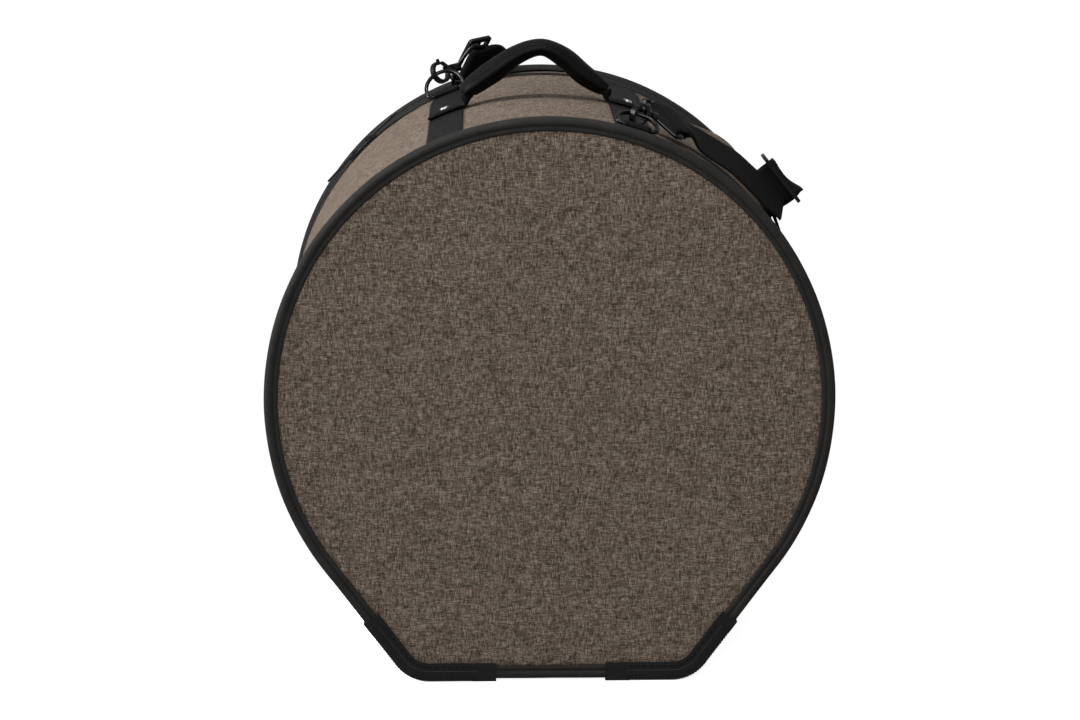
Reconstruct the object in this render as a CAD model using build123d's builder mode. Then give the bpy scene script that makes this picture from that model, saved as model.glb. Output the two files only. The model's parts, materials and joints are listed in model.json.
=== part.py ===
from build123d import *
from math import cos, degrees, radians, sin, tan
import os

# A padded bag for a floor tom: a round fabric drum standing on a flat base, with a zipped lid at the rear.
# The origin is on the floor under the middle of the bag. +X is right, +Y is the lid side, +Z is up.
# Lengths are in millimetres, angles in degrees.

# Size and outline of the bag
rim_radius = 236
bag_depth = 450
side_lean = 36.87
rim_corner = 34
rim_proud = 4.5
guard_proud = 1.0

# Layers of the walls
cover_thick = 1.0
foam_thick = 8.0
lining_thick = 0.8
layer_gap = 0.2

# Bound rims
binding_face = 11
binding_width = 10
binding_round = 4.2
panel_recess = 2.0
seam_gap = 0.2

# Zip and lid
zip_setback = 58
zip_opening = 12
tape_width = 15
tape_thick = 0.8
teeth_width = 2.4
teeth_height = 2.3
teeth_gap = 2.8
zip_end_height = 16
hinge_width = 180
lid_open = 110

# Carry handle and the leather patches that hold it
top_angle = -2.0
patch_spread = 19.7
patch_width = 32
patch_thick = 1.4
tab_thick = 3.2
tab_lead = 15
tab_rear_gap = 32
patch_rear_gap = 18
handle_depth_share = -0.0311111
leg_share = 1.22898
grip_width = 29
grip_thick = 15
grip_skin = 2.0
tongue_width = 17
tongue_thick = 1.8
rivet_head = 8
rivet_shank = 4

# Rings, hooks and shoulder strap
wire = 3.6
ring_width = 34.4
ring_arm = 7
keeper_width = 24
keeper_thick = 1.1
running_gap = 0.3
strap_width = 38
strap_thick = 2.0

# Small fittings
patch_gap = 0.15
pocket_short = 12.3
tongue_end_rise = 5.2
tongue_left_rise = 2.0
rivet_height = 1.6
rivet_dome_share = 0.5
ring_bend = 3.5
front_ring_setback = 19
front_ring_tilt = 20
front_tail = -8
rear_ring_gap = 35
rear_ring_tilt = 45
rear_tail = -14
hook_thick = 4.6
hook_outer = 10.5
hook_inner = 7.5
hook_centre = 1.2
hook_mouth = -1.0
shank_width = 8
shank_end = 19
barrel_length = 6
slot_width = 2.8
slot_start = 5
slot_end = 16.5
slot_depth = 5.5
gate_pin_along = 13.5
gate_pin_across = 1.2
gate_pin = 1.0
gate_thick = 2.2
gate_hub = 2.4
gate_bar = 2.2
gate_tip = 0
gate_tip_across = 8.0
pin_gap = 0.08
swivel_pin = 1.7
swivel_gap = 0.4
collar_length = 3.4
loop_spare = 4.5
loop_flare = 7
loop_bar = 40.5
loop_bend = 3.2
wrap_leg = 14
wrap_taper = 13
rear_taper = 9
rear_reach_near = 31
rear_reach_far = 47
rear_drift = 3
rear_run_angle = -10
slider_gap = 0.4
slider_plate = 1.6
slider_length = 16
slider_half = 5.6
slider_round = 3
slider_post = 5
slider_flange = 1.4
post_gap = 0.45
bail_width = 3
bail_outer = 2.6
bail_inner = 1.5
pull_height = 1.2
pull_thick = 1.4
pull_length = 38
pull_width = 8
pull_round = 0.6
pull_window = 3.4
pull_opening = 4.2
pull_hole = 2.0
meeting_angle = -45
glide_long = 50
glide_wide = 28
glide_thick = 3
glide_round = 3
glide_slot = 8
glide_slot_middle = 6
glide_spare = 3
glide_angle = 51.5
glide_pass = 2.4
glide_lift = 22.6

# Overrun of every cutting tool past the wall that it cuts
overrun = 5

# Places worked out from the sizes above
centre_z = rim_radius + guard_proud
front_y = -bag_depth / 2
rear_y = bag_depth / 2
zip_y = rear_y - zip_setback
cover_radius = rim_radius - rim_proud
foam_radius = cover_radius - cover_thick - layer_gap
lining_radius = foam_radius - foam_thick - layer_gap
clear_radius = lining_radius - lining_thick
band_front = front_y + binding_width + seam_gap
band_rear = rear_y - binding_width - seam_gap
base_z = centre_z - cover_radius
handle_y = handle_depth_share * bag_depth
tab_half_turn = degrees(patch_width / 2 / cover_radius)
leg_spread = rim_radius * tan(radians(patch_spread - leg_share * tab_half_turn))
front_ring_y = front_y + front_ring_setback
rear_ring_y = zip_y - rear_ring_gap
patch_rear = zip_y - patch_rear_gap
tab_front = handle_y - tab_lead
tab_rear = rear_ring_y - tab_rear_gap

os.makedirs("parts", exist_ok=True)


def save(piece, name):
    """Name the finished solid and write it."""
    piece.part.label = name
    export_step(piece.part, "parts/" + name + ".step")


def outline(y, radius):
    """The bag's outline at depth y: a circle with leaning tangent sides, a flat base and rounded corners."""
    lean = radians(side_lean)
    touch_x = radius * cos(lean)
    touch_z = centre_z - radius * sin(lean)
    corner_x = radius * tan(radians((90 - side_lean) / 2))
    corner_z = centre_z - radius
    with BuildSketch(Plane.XZ.offset(-y), mode=Mode.PRIVATE) as shape:
        with BuildLine():
            CenterArc((0, centre_z), radius, -side_lean, 180 + 2 * side_lean)
            Polyline(
                (-touch_x, touch_z),
                (-corner_x, corner_z),
                (corner_x, corner_z),
                (touch_x, touch_z),
            )
        make_face()
        corners = shape.vertices().sort_by(Axis.Y)[:2]
        fillet(corners, radius=rim_corner - (rim_radius - radius))
    return shape.sketch


def shell(y_from, y_to, outer, inner):
    """A wall that follows the outline between two radii and two depths, inside the part that is open."""
    extrude(outline(y_from, outer), amount=y_from - y_to)
    extrude(outline(y_from, inner), amount=y_from - y_to, mode=Mode.SUBTRACT)


def slab(y_from, y_to, radius, mode=Mode.ADD):
    """A flat panel with the bag's outline."""
    extrude(outline(y_from, radius), amount=y_from - y_to, mode=mode)


def on_drum(angle, y, radius):
    """A plane on the drum: its x runs clockwise round the bag, its y to the rear and its z outwards."""
    turn = radians(angle)
    return Plane(
        origin=(radius * sin(turn), y, centre_z + radius * cos(turn)),
        x_dir=(cos(turn), 0, -sin(turn)),
        z_dir=(sin(turn), 0, cos(turn)),
    )


def sector(y_from, y_to, inner, outer, middle, half_width, mode=Mode.ADD):
    """A strip bent round the drum, half_width to each side of its middle angle."""
    half = degrees(half_width / cover_radius)
    with BuildSketch(Plane.XZ.offset(-y_from), mode=Mode.PRIVATE) as strip:
        with BuildLine():
            low = CenterArc((0, centre_z), inner, 90 - middle - half, 2 * half)
            high = CenterArc((0, centre_z), outer, 90 - middle - half, 2 * half)
            Line(low @ 0, high @ 0)
            Line(low @ 1, high @ 1)
        make_face()
    extrude(strip.sketch, amount=y_from - y_to, mode=mode)


# Front panel: cover, foam and lining
panel_front = front_y + panel_recess
panel_radius = rim_radius - binding_face - seam_gap

with BuildPart() as front_panel_cover:
    slab(panel_front, panel_front + cover_thick, panel_radius)
save(front_panel_cover, "front_panel_cover")

foam_front = panel_front + cover_thick + layer_gap
with BuildPart() as front_panel_foam:
    slab(foam_front, foam_front + foam_thick, panel_radius)
save(front_panel_foam, "front_panel_foam")

lining_front = foam_front + foam_thick + layer_gap
with BuildPart() as front_panel_lining:
    slab(lining_front, lining_front + lining_thick, clear_radius - layer_gap)
save(front_panel_lining, "front_panel_lining")


def bound_rim(y_face, direction):
    """The bound rim of one face: a rounded welt that stands proud of the drum."""
    y_back = y_face + direction * binding_width
    low = min(y_face, y_back)
    high = max(y_face, y_back)
    with BuildPart() as rim:
        shell(low, high, rim_radius, rim_radius - binding_face)
        ends = rim.faces().filter_by(GeomType.PLANE).sort_by(SortBy.AREA)[-2:].sort_by(Axis.Y)
        face_end = ends[0] if direction > 0 else ends[-1]
        back_end = ends[-1] if direction > 0 else ends[0]
        fillet(face_end.outer_wire().edges(), radius=binding_round)
        back_edges = rim.edges().filter_by_position(Axis.Y, y_back, y_back)
        fillet(back_edges.filter_by(far_out), radius=binding_round / 2)
    return rim


def far_out(edge):
    """Whether an edge lies on the outer wall of a rim."""
    middle = edge.position_at(1 / 2)
    flat = Vector(middle.X, 0, middle.Z - centre_z)
    return flat.length > rim_radius - binding_face / 2


front_binding = bound_rim(front_y, 1)
save(front_binding, "front_rim_binding")

# Body of the drum, from the front rim to the zip
body_rear = zip_y - zip_opening / 2
foam_rear = zip_y - tape_width - teeth_gap / 2
with BuildPart() as body_cover:
    shell(band_front, body_rear, cover_radius, cover_radius - cover_thick)
save(body_cover, "body_cover")

body_foam_front = lining_front + lining_thick + layer_gap
with BuildPart() as body_foam:
    shell(body_foam_front, foam_rear, foam_radius, foam_radius - foam_thick)
save(body_foam, "body_foam")

with BuildPart() as body_lining:
    shell(body_foam_front, foam_rear, lining_radius, clear_radius)
save(body_lining, "body_lining")


def zip_half(side, from_zip, to_zip, outer, inner):
    """One half of the zip's tape or teeth, on the body (side -1) or the lid (side 1), ended above the base."""
    ys = sorted([zip_y + side * from_zip, zip_y + side * to_zip])
    with BuildPart() as half:
        shell(ys[0], ys[1], outer, inner)
        with BuildSketch(Plane.XY.offset(-overrun)) as below:
            with Locations((0, zip_y)):
                Rectangle(3 * rim_radius, zip_setback * 2)
        extrude(amount=zip_end_height + overrun, mode=Mode.SUBTRACT)
    return half


tape_radius = foam_radius
teeth_radius = tape_radius + teeth_height
tape_start = teeth_gap / 2
teeth_end = tape_start + teeth_width
for side, place in ((-1, "body"), (1, "lid")):
    tape = zip_half(side, tape_start, tape_start + tape_width, tape_radius, tape_radius - tape_thick)
    save(tape, "zip_tape_" + place)
    teeth = zip_half(side, tape_start, teeth_end, teeth_radius, tape_radius + layer_gap / 2)
    save(teeth, "zip_teeth_" + place)

# Lid: panel, strip and rim behind the zip
lid_front = zip_y + zip_opening / 2
lid_foam_front = zip_y + tape_width + teeth_gap / 2
panel_rear = rear_y - panel_recess
lid_foam_rear = panel_rear - cover_thick - layer_gap
lid_lining_rear = lid_foam_rear - foam_thick - layer_gap
lid_strip_rear = lid_lining_rear - lining_thick - layer_gap

with BuildPart() as lid_panel_cover:
    slab(panel_rear - cover_thick, panel_rear, panel_radius)
save(lid_panel_cover, "lid_panel_cover")

with BuildPart() as lid_panel_foam:
    slab(lid_foam_rear - foam_thick, lid_foam_rear, panel_radius)
save(lid_panel_foam, "lid_panel_foam")

with BuildPart() as lid_panel_lining:
    slab(lid_lining_rear - lining_thick, lid_lining_rear, clear_radius - layer_gap)
save(lid_panel_lining, "lid_panel_lining")

rear_binding = bound_rim(rear_y, -1)
save(rear_binding, "rear_rim_binding")

with BuildPart() as lid_strip_cover:
    shell(lid_front, band_rear, cover_radius, cover_radius - cover_thick)
save(lid_strip_cover, "lid_strip_cover")

with BuildPart() as lid_strip_foam:
    shell(lid_foam_front, lid_strip_rear, foam_radius, foam_radius - foam_thick)
save(lid_strip_foam, "lid_strip_foam")

with BuildPart() as lid_strip_lining:
    shell(lid_foam_front, lid_strip_rear, lining_radius, clear_radius)
save(lid_strip_lining, "lid_strip_lining")

# Cloth hinge across the flat base, between the body's cover and the lid's
with BuildPart() as lid_hinge_cloth:
    with BuildSketch(Plane.XY.offset(base_z)):
        with Locations((0, zip_y)):
            Rectangle(hinge_width, zip_opening - 2 * layer_gap)
    extrude(amount=cover_thick)
save(lid_hinge_cloth, "lid_hinge_cloth")

# Corner guards: ribbed channels that grip the rims round the base corners, and that the bag stands on
guard_wall = 0.95
guard_lip = 3.5
guard_side_length = 62
guard_base_length = 73
guard_plain_side = 12
guard_plain_base = 20
rib_pitch = 2.6
rib_groove = 1.0
rib_depth = 0.45
rib_band = 7.5
bead_width = 1.2
bead_height = 0.6
guard_radius = rim_radius + guard_proud
guard_front = front_y - guard_proud
guard_inner = rim_radius - binding_face - guard_lip
guard_hold = guard_radius - guard_wall
corner_x = guard_radius * tan(radians((90 - side_lean) / 2))
side_run = Vector(sin(radians(side_lean)), 0, cos(radians(side_lean)))
side_out = Vector(cos(radians(side_lean)), 0, -sin(radians(side_lean)))


def corner_region(base_reach, side_reach):
    """The part of the face round the right base corner: base_reach along the base, side_reach up the side."""
    corner = Vector(corner_x, 0, 0)
    side_end = corner + side_run * side_reach
    inner_end = side_end - side_out * side_reach
    outer_end = side_end + side_out * side_reach
    base_end = corner_x - base_reach
    with BuildSketch(Plane.XZ.offset(-guard_front + overrun), mode=Mode.PRIVATE) as region:
        with BuildLine():
            Polyline(
                (base_end, -overrun),
                (corner_x + side_reach, -overrun),
                (outer_end.X, outer_end.Z),
                (inner_end.X, inner_end.Z),
                (base_end, side_reach),
                close=True,
            )
        make_face()
    return region.sketch


guard_rear = band_front - seam_gap + guard_wall + guard_proud
with BuildPart() as guard:
    slab(guard_front, guard_rear, guard_radius)
    slab(guard_front, front_y - layer_gap / 4, guard_inner, mode=Mode.SUBTRACT)
    slab(front_y - layer_gap / 4, guard_rear - guard_wall, guard_hold, mode=Mode.SUBTRACT)
    slab(guard_rear - guard_wall, guard_rear, cover_radius + layer_gap, mode=Mode.SUBTRACT)
    bead_outer = rim_radius - rib_band - bead_width
    with BuildPart(mode=Mode.PRIVATE) as bead:
        shell(guard_front - bead_height, guard_front, bead_outer, bead_outer - bead_width)
    add(bead.part)
    extrude(corner_region(guard_base_length, guard_side_length), amount=-bag_depth, mode=Mode.INTERSECT)
    groove_planes = []
    base_stretch = guard_base_length - guard_plain_base
    side_stretch = guard_side_length - guard_plain_side
    corner_round = rim_corner + guard_proud
    tangent_length = corner_round * tan(radians((90 - side_lean) / 2))
    turn_centre = Vector(corner_x - tangent_length, 0, corner_round)
    for step in range(int((base_stretch - tangent_length) / rib_pitch) + 1):
        foot = Vector(corner_x - tangent_length - step * rib_pitch, 0, 0)
        groove_planes.append(Plane(origin=foot, x_dir=(1, 0, 0), z_dir=(0, 0, -1)))
    arc_steps = int(corner_round * radians(90 - side_lean) / rib_pitch)
    for step in range(1, arc_steps + 1):
        turn = step * rib_pitch / corner_round
        out = Vector(sin(turn), 0, -cos(turn))
        along = Vector(cos(turn), 0, sin(turn))
        groove_planes.append(Plane(origin=turn_centre + out * corner_round, x_dir=along, z_dir=out))
    for step in range(1, int((side_stretch - tangent_length) / rib_pitch) + 1):
        reach = tangent_length + step * rib_pitch
        foot = Vector(corner_x, 0, 0) + side_run * reach
        groove_planes.append(Plane(origin=foot, x_dir=side_run, z_dir=side_out))
    for place in groove_planes:
        with BuildSketch(place.offset(-rib_depth)):
            with Locations((0, -(guard_front + guard_rear) / 2)):
                Rectangle(rib_groove, guard_rear - guard_front)
    extrude(amount=overrun, mode=Mode.SUBTRACT)

for side, across in (("right", 1), ("left", -1)):
    for end, along in (("front", 1), ("rear", -1)):
        with BuildPart() as corner_guard:
            add(guard.part)
            if across < 0:
                mirror(about=Plane.YZ, mode=Mode.REPLACE)
            if along < 0:
                mirror(about=Plane.XZ, mode=Mode.REPLACE)
        save(corner_guard, "corner_guard_" + end + "_" + side)


# Leather patches along the top, with a tab on each that grips the tongue of the carry handle
patch_inner = cover_radius + patch_gap
patch_outer = patch_inner + patch_thick
tab_inner = patch_outer + patch_gap
tab_outer = tab_inner + tab_thick
pocket_outer = tab_inner + tongue_thick + 2 * patch_gap
tongue_middle = tab_inner + patch_gap + tongue_thick / 2
sides = (("left", -1), ("right", 1))


def rivet_hole(angle):
    """A round hole through everything under a rivet."""
    with BuildSketch(on_drum(angle, handle_y, cover_radius), mode=Mode.PRIVATE) as hole:
        Circle(rivet_shank / 2 + patch_gap / 2)
    extrude(hole.sketch, amount=overrun + tab_thick, mode=Mode.SUBTRACT)


def ribbon(stations, width):
    """A flat band through stations, each a point, the direction of its width and its thickness."""
    last = len(stations) - 1
    sections = []
    for index, (point, across, thick) in enumerate(stations):
        before = stations[max(index - 1, 0)][0]
        after = stations[min(index + 1, last)][0]
        along = (after - before).normalized()
        flat = (across - along * across.dot(along)).normalized()
        with BuildSketch(Plane(origin=point, x_dir=flat, z_dir=along), mode=Mode.PRIVATE) as section:
            Rectangle(width, thick)
        sections.append(section.sketch)
    loft(sections, ruled=True)


def drum_place(angle, radius_share, depth_share):
    """A point on the drum, its radius given as a share of the rim's and its depth as a share of the bag's."""
    turn = radians(angle)
    radius = radius_share * rim_radius
    return Vector(radius * sin(turn), depth_share * bag_depth, centre_z + radius * cos(turn))


def drum_across(angle, shares):
    """A direction at that angle from its clockwise, rearward and outward shares."""
    place = on_drum(angle, 0, 0)
    return place.x_dir * shares[0] + Vector(0, 1, 0) * shares[1] + place.z_dir * shares[2]


# Places along a tongue: from the tab's middle in shares of its half width, and up in shares of the rise
tongue_bend_shares = [
    (0.0505, 0),
    (-0.581, 0),
    (-0.9975, 0),
    (-1.1566, 0.13),
    (-1.2121, 0.41),
    (-1.2121, 0.72),
    (-1.1995, 0.97),
]
for name, side in sides:
    middle = top_angle + side * patch_spread
    with BuildPart() as patch:
        sector(band_front, patch_rear, patch_inner, patch_outer, middle, patch_width / 2)
        rivet_hole(middle)
    save(patch, "patch_" + name)
    with BuildPart() as tab:
        sector(tab_front, tab_rear, tab_inner, tab_outer, middle, patch_width / 2)
        sector(
            handle_y - tongue_width / 2 - layer_gap,
            handle_y + tongue_width / 2 + layer_gap,
            tab_inner - patch_gap,
            pocket_outer,
            middle - side * degrees(pocket_short / cover_radius),
            patch_width / 2,
            mode=Mode.SUBTRACT,
        )
        rivet_hole(middle)
    save(tab, "handle_tab_" + name)
    end_radius = rim_radius + tongue_end_rise - (side - 1) * tongue_left_rise / 2
    bends = []
    for angle_share, rise_share in tongue_bend_shares:
        radius = tongue_middle + rise_share * (end_radius - tongue_middle)
        turn = top_angle + side * (patch_spread + angle_share * tab_half_turn)
        point = drum_place(turn, radius / rim_radius, handle_y / bag_depth)
        bends.append((point, Vector(0, 1, 0), tongue_thick))
    with BuildPart() as tongue:
        ribbon(bends, tongue_width)
        rivet_hole(middle)
    save(tongue, "handle_tongue_" + name)
    with BuildPart() as rivet:
        with BuildSketch(on_drum(middle, handle_y, cover_radius + patch_gap)):
            Circle(rivet_shank / 2)
        extrude(amount=tab_outer - cover_radius)
        with BuildSketch(on_drum(middle, handle_y, tab_outer + patch_gap)):
            Circle(rivet_head / 2)
        extrude(amount=rivet_height)
        flat_faces = rivet.faces().filter_by(GeomType.PLANE)
        head_top = flat_faces.sort_by_distance((0, handle_y, centre_z))[-1]
        fillet(head_top.edges(), radius=rivet_height * rivet_dome_share)
    save(rivet, "handle_rivet_" + name)

# Carry handle: a padded grip bowed over the top, as places across and above, with the shares of its size
top_turn = radians(top_angle)
top_plane = Plane(
    origin=(0, handle_y, centre_z),
    x_dir=(cos(top_turn), 0, -sin(top_turn)),
    z_dir=(0, -1, 0),
)
grip_shares = [
    (-0.997, 0.998, 0.56, 0.46),
    (-0.968, 1.015, 0.60, 0.52),
    (-0.864, 1.034, 0.72, 0.66),
    (-0.576, 1.087, 0.92, 0.90),
    (-0.224, 1.140, 1.00, 1.00),
    (0.128, 1.158, 1.00, 1.00),
    (0.432, 1.121, 0.95, 0.94),
    (0.688, 1.055, 0.82, 0.76),
    (0.896, 1.015, 0.66, 0.58),
    (0.997, 0.994, 0.56, 0.46),
]


def grip(shares, skin):
    """The grip's body as a smooth loft of ovals, thinner all round by the skin."""
    points = [Vector(across * leg_spread, high * rim_radius) for across, high, wide, deep in shares]
    last = len(points) - 1
    sections = []
    for index, (across, high, wide, deep) in enumerate(shares):
        ahead = points[min(index + 1, last)] - points[max(index - 1, 0)]
        along = (top_plane.x_dir * ahead.X + top_plane.y_dir * ahead.Y).normalized()
        origin = top_plane.from_local_coords((points[index].X, points[index].Y, 0))
        place = Plane(origin=origin, x_dir=(0, 1, 0), z_dir=along)
        with BuildSketch(place, mode=Mode.PRIVATE) as section:
            Ellipse(wide * grip_width / 2 - skin, deep * grip_thick / 2 - skin)
        sections.append(section.sketch)
    loft(sections)


with BuildPart() as handle_core:
    grip(grip_shares[1:-1], grip_skin)
save(handle_core, "handle_core")

with BuildPart() as handle_cover:
    grip(grip_shares, 0)
    add(handle_core.part, mode=Mode.SUBTRACT)
save(handle_cover, "handle_cover")

# Zip sliders that meet over the left shoulder, each with a pull on its bail
slider_top = teeth_radius + slider_gap
slider_under = tape_radius - tape_thick - 3 * slider_gap
pull_axis = slider_top + slider_plate + pull_height
meeting_step = degrees((slider_length + 3 * slider_gap) / slider_top)


def build_slider(angle):
    """A slider: two plates on a post between the rows of teeth, flanges outside them and a bail on top."""
    with BuildPart() as slider:
        with BuildSketch(on_drum(angle, zip_y, slider_top)):
            RectangleRounded(slider_length, 2 * slider_half, slider_round)
        extrude(amount=slider_plate)
        with BuildSketch(on_drum(angle, zip_y, slider_under - slider_plate)):
            RectangleRounded(slider_length, 2 * slider_half, slider_round)
        extrude(amount=slider_plate)
        with BuildSketch(on_drum(angle, zip_y, slider_under)):
            Rectangle(slider_post, teeth_gap - 2 * post_gap)
        extrude(amount=slider_top - slider_under)
        flange_height = slider_top - tape_radius - slider_gap
        with BuildSketch(on_drum(angle, zip_y, slider_top - flange_height)):
            for side in (-1, 1):
                with Locations((0, side * (slider_half - slider_flange / 2))):
                    Rectangle(slider_length - 2 * slider_round, slider_flange)
        extrude(amount=flange_height)
        place = on_drum(angle, zip_y, pull_axis)
        across = Plane(origin=place.origin, x_dir=place.x_dir, z_dir=(0, -1, 0))
        with BuildSketch(across.offset(-bail_width / 2)):
            Circle(bail_outer)
            with Locations((0, -pull_height / 2)):
                Rectangle(2 * bail_outer, pull_height)
            Circle(bail_inner, mode=Mode.SUBTRACT)
            with Locations((0, -pull_height / 2)):
                Rectangle(2 * bail_inner, pull_height, mode=Mode.SUBTRACT)
            with Locations((0, -pull_height - bail_outer / 2)):
                Rectangle(2 * bail_outer, bail_outer, mode=Mode.SUBTRACT)
        extrude(amount=bail_width)
    return slider


def build_pull(angle, way):
    """A pull: a flat tag whose cross bar runs through the bail, lying to one side at rest."""
    place = on_drum(angle, zip_y, pull_axis - pull_thick / 2)
    with BuildPart() as pull:
        with BuildSketch(place):
            with Locations((way * (pull_length - pull_thick) / 2, 0)):
                RectangleRounded(pull_length, pull_width, pull_round)
            with Locations((way * (pull_thick + pull_window) / 2, 0)):
                Rectangle(pull_window, pull_opening, mode=Mode.SUBTRACT)
            with Locations((way * (pull_length - pull_width), 0)):
                Circle(pull_hole, mode=Mode.SUBTRACT)
        extrude(amount=pull_thick)
    return pull


for name, way in (("right", 1), ("left", -1)):
    angle = meeting_angle + way * meeting_step / 2
    save(build_slider(angle), "zip_slider_" + name)
    save(build_pull(angle, way), "zip_pull_" + name)

# Rings on the patches, snap hooks and the shoulder strap
ring_bar_radius = patch_outer + patch_gap + wire / 2 + running_gap + keeper_thick


def round_wire(place, corners, bend):
    """A closed loop of round wire through corners in one plane."""
    with BuildLine(place, mode=Mode.PRIVATE) as path:
        Polyline(*corners, close=True)
        fillet(path.vertices(), radius=bend)
    loop = path.wire()
    with BuildSketch(Plane(origin=loop @ 0, z_dir=loop % 0), mode=Mode.PRIVATE) as section:
        Circle(wire / 2)
    sweep(sections=section.sketch, path=loop)


def ring_plane(angle, y, tilt):
    """The ring's own plane: its x along its bar and its y away from the bar, tilted up out of the drum."""
    place = on_drum(angle, y, ring_bar_radius)
    lift = radians(tilt)
    outward = Vector(0, 1, 0) * cos(lift) + place.z_dir * sin(lift)
    return Plane(origin=place.origin, x_dir=place.x_dir, z_dir=place.x_dir.cross(outward))


def build_ring(place):
    """A D-shaped ring: a straight bar, two short arms and a half circle."""
    half = ring_width / 2
    with BuildPart() as ring:
        with BuildLine(place) as path:
            Line((-half + ring_bend, 0), (half - ring_bend, 0))
            CenterArc((half - ring_bend, ring_bend), ring_bend, -90, 90)
            Line((half, ring_bend), (half, ring_arm))
            CenterArc((0, ring_arm), half, 0, 180)
            Line((-half, ring_arm), (-half, ring_bend))
            CenterArc((-half + ring_bend, ring_bend), ring_bend, 180, 90)
        loop = path.wire()
        with BuildSketch(Plane(origin=loop @ 0, z_dir=loop % 0)) as section:
            Circle(wire / 2)
        sweep(sections=section.sketch, path=loop)
    return ring


def build_keeper(angle, y, tail):
    """A leather sleeve round the ring's bar with a flat tail on the patch; tail is its signed length."""
    sleeve = wire / 2 + running_gap + keeper_thick
    place = on_drum(angle, y, ring_bar_radius)
    low = patch_outer + patch_gap
    with BuildPart() as keeper:
        with BuildSketch(on_drum(angle, y + tail / 2, low)):
            Rectangle(keeper_width, abs(tail))
        extrude(amount=keeper_thick)
        across = Plane(origin=place.origin, x_dir=(0, 1, 0), z_dir=place.x_dir)
        with BuildSketch(across.offset(-keeper_width / 2)):
            Circle(sleeve)
        extrude(amount=keeper_width)
        with BuildSketch(across.offset(-keeper_width)):
            Circle(wire / 2 + running_gap)
        extrude(amount=2 * keeper_width, mode=Mode.SUBTRACT)
    return keeper


def build_hook(place):
    """The snap hook's casting: a round eye open on one side, a slotted shank and a barrel for the swivel."""
    with BuildPart() as hook:
        with BuildSketch(place.offset(-hook_thick / 2)):
            with Locations((hook_centre, 0)):
                Circle(hook_outer)
            with Locations((hook_centre + (shank_end - hook_centre) / 2, 0)):
                Rectangle(shank_end - hook_centre, shank_width)
            with Locations((hook_centre, 0)):
                Circle(hook_inner, mode=Mode.SUBTRACT)
            with Locations(((shank_end + hook_mouth) / 2, shank_width / 2 + hook_outer / 2)):
                Rectangle(shank_end - hook_mouth, hook_outer, mode=Mode.SUBTRACT)
        extrude(amount=hook_thick)
        barrel = Plane(origin=place.from_local_coords((shank_end - barrel_length / 2, 0, 0)), z_dir=place.x_dir)
        with BuildSketch(barrel):
            Circle(shank_width / 2)
        extrude(amount=barrel_length)
        with BuildSketch(place.offset(-slot_width / 2)):
            with Locations(((slot_start + slot_end) / 2, shank_width / 2 - slot_depth / 2 + hook_outer / 2)):
                Rectangle(slot_end - slot_start, slot_depth + hook_outer)
        extrude(amount=slot_width, mode=Mode.SUBTRACT)
        with BuildSketch(place.offset(-hook_thick)):
            with Locations((gate_pin_along, gate_pin_across)):
                Circle(gate_pin + pin_gap)
        extrude(amount=2 * hook_thick, mode=Mode.SUBTRACT)
        bore = Plane(
            origin=place.from_local_coords((shank_end + barrel_length / 2, 0, 0)), z_dir=-place.x_dir
        )
        with BuildSketch(bore):
            Circle(swivel_pin + pin_gap)
        extrude(amount=barrel_length, mode=Mode.SUBTRACT)
    return hook


def build_gate(place):
    """The sprung gate: a lever on a cross pin, with a thumb stud, that closes the hook's mouth."""
    with BuildPart() as gate:
        with BuildSketch(place.offset(-gate_thick / 2)):
            with Locations((gate_pin_along, gate_pin_across)):
                Circle(gate_hub)
            with BuildLine():
                Polyline(
                    (gate_pin_along, gate_pin_across + gate_hub),
                    (hook_centre + hook_inner, gate_tip_across + gate_bar / 2),
                    (gate_tip, gate_tip_across + gate_bar / 2),
                    (gate_tip, gate_tip_across - gate_bar / 2),
                    (hook_centre + hook_inner - gate_bar, gate_tip_across - gate_bar / 2),
                    (gate_pin_along - gate_hub, gate_pin_across),
                    (gate_pin_along, gate_pin_across),
                    close=True,
                )
            make_face()
            with Locations((hook_centre + gate_bar, gate_tip_across + gate_bar)):
                Rectangle(gate_bar, 2 * gate_bar)
        extrude(amount=gate_thick)
        with BuildSketch(place.offset(-hook_thick / 2)):
            with Locations((gate_pin_along, gate_pin_across)):
                Circle(gate_pin)
        extrude(amount=hook_thick)
    return gate


def build_swivel(place, bar_across):
    """The swivel: a pin and collar at the hook, and a wire loop that holds the webbing."""
    start = shank_end + barrel_length / 2 + swivel_gap
    frame = Plane(origin=place.origin, x_dir=place.x_dir, z_dir=place.x_dir.cross(bar_across))
    half = strap_width / 2 + loop_spare
    with BuildPart() as swivel:
        with BuildSketch(Plane(origin=place.from_local_coords((start, 0, 0)), z_dir=place.x_dir)):
            Circle(shank_width / 2)
        extrude(amount=collar_length)
        pin_end = Plane(origin=place.from_local_coords((start, 0, 0)), z_dir=-place.x_dir)
        with BuildSketch(pin_end):
            Circle(swivel_pin)
        extrude(amount=barrel_length - 2 * swivel_gap)
        wire_start = start + collar_length - wire / 2
        corners = [
            (wire_start, -shank_width / 2),
            (wire_start, shank_width / 2),
            (wire_start + loop_flare, half),
            (loop_bar, half),
            (loop_bar, -half),
            (wire_start + loop_flare, -half),
        ]
        round_wire(frame, corners, loop_bend)
    return swivel


def build_wrap(centre, bar_across, along):
    """Webbing folded round the loop's bar, its two legs running off along the strap."""
    outer = wire / 2 + running_gap + strap_thick
    inner = wire / 2 + running_gap
    place = Plane(origin=centre, x_dir=along, z_dir=bar_across)
    with BuildPart() as wrap:
        with BuildSketch(place.offset(-strap_width / 2)):
            Circle(outer)
            with Locations((wrap_leg / 2, 0)):
                Rectangle(wrap_leg, 2 * outer)
            Circle(inner, mode=Mode.SUBTRACT)
            with Locations((wrap_leg / 2, 0)):
                Rectangle(wrap_leg, 2 * inner, mode=Mode.SUBTRACT)
        extrude(amount=strap_width)
    return wrap


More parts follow.
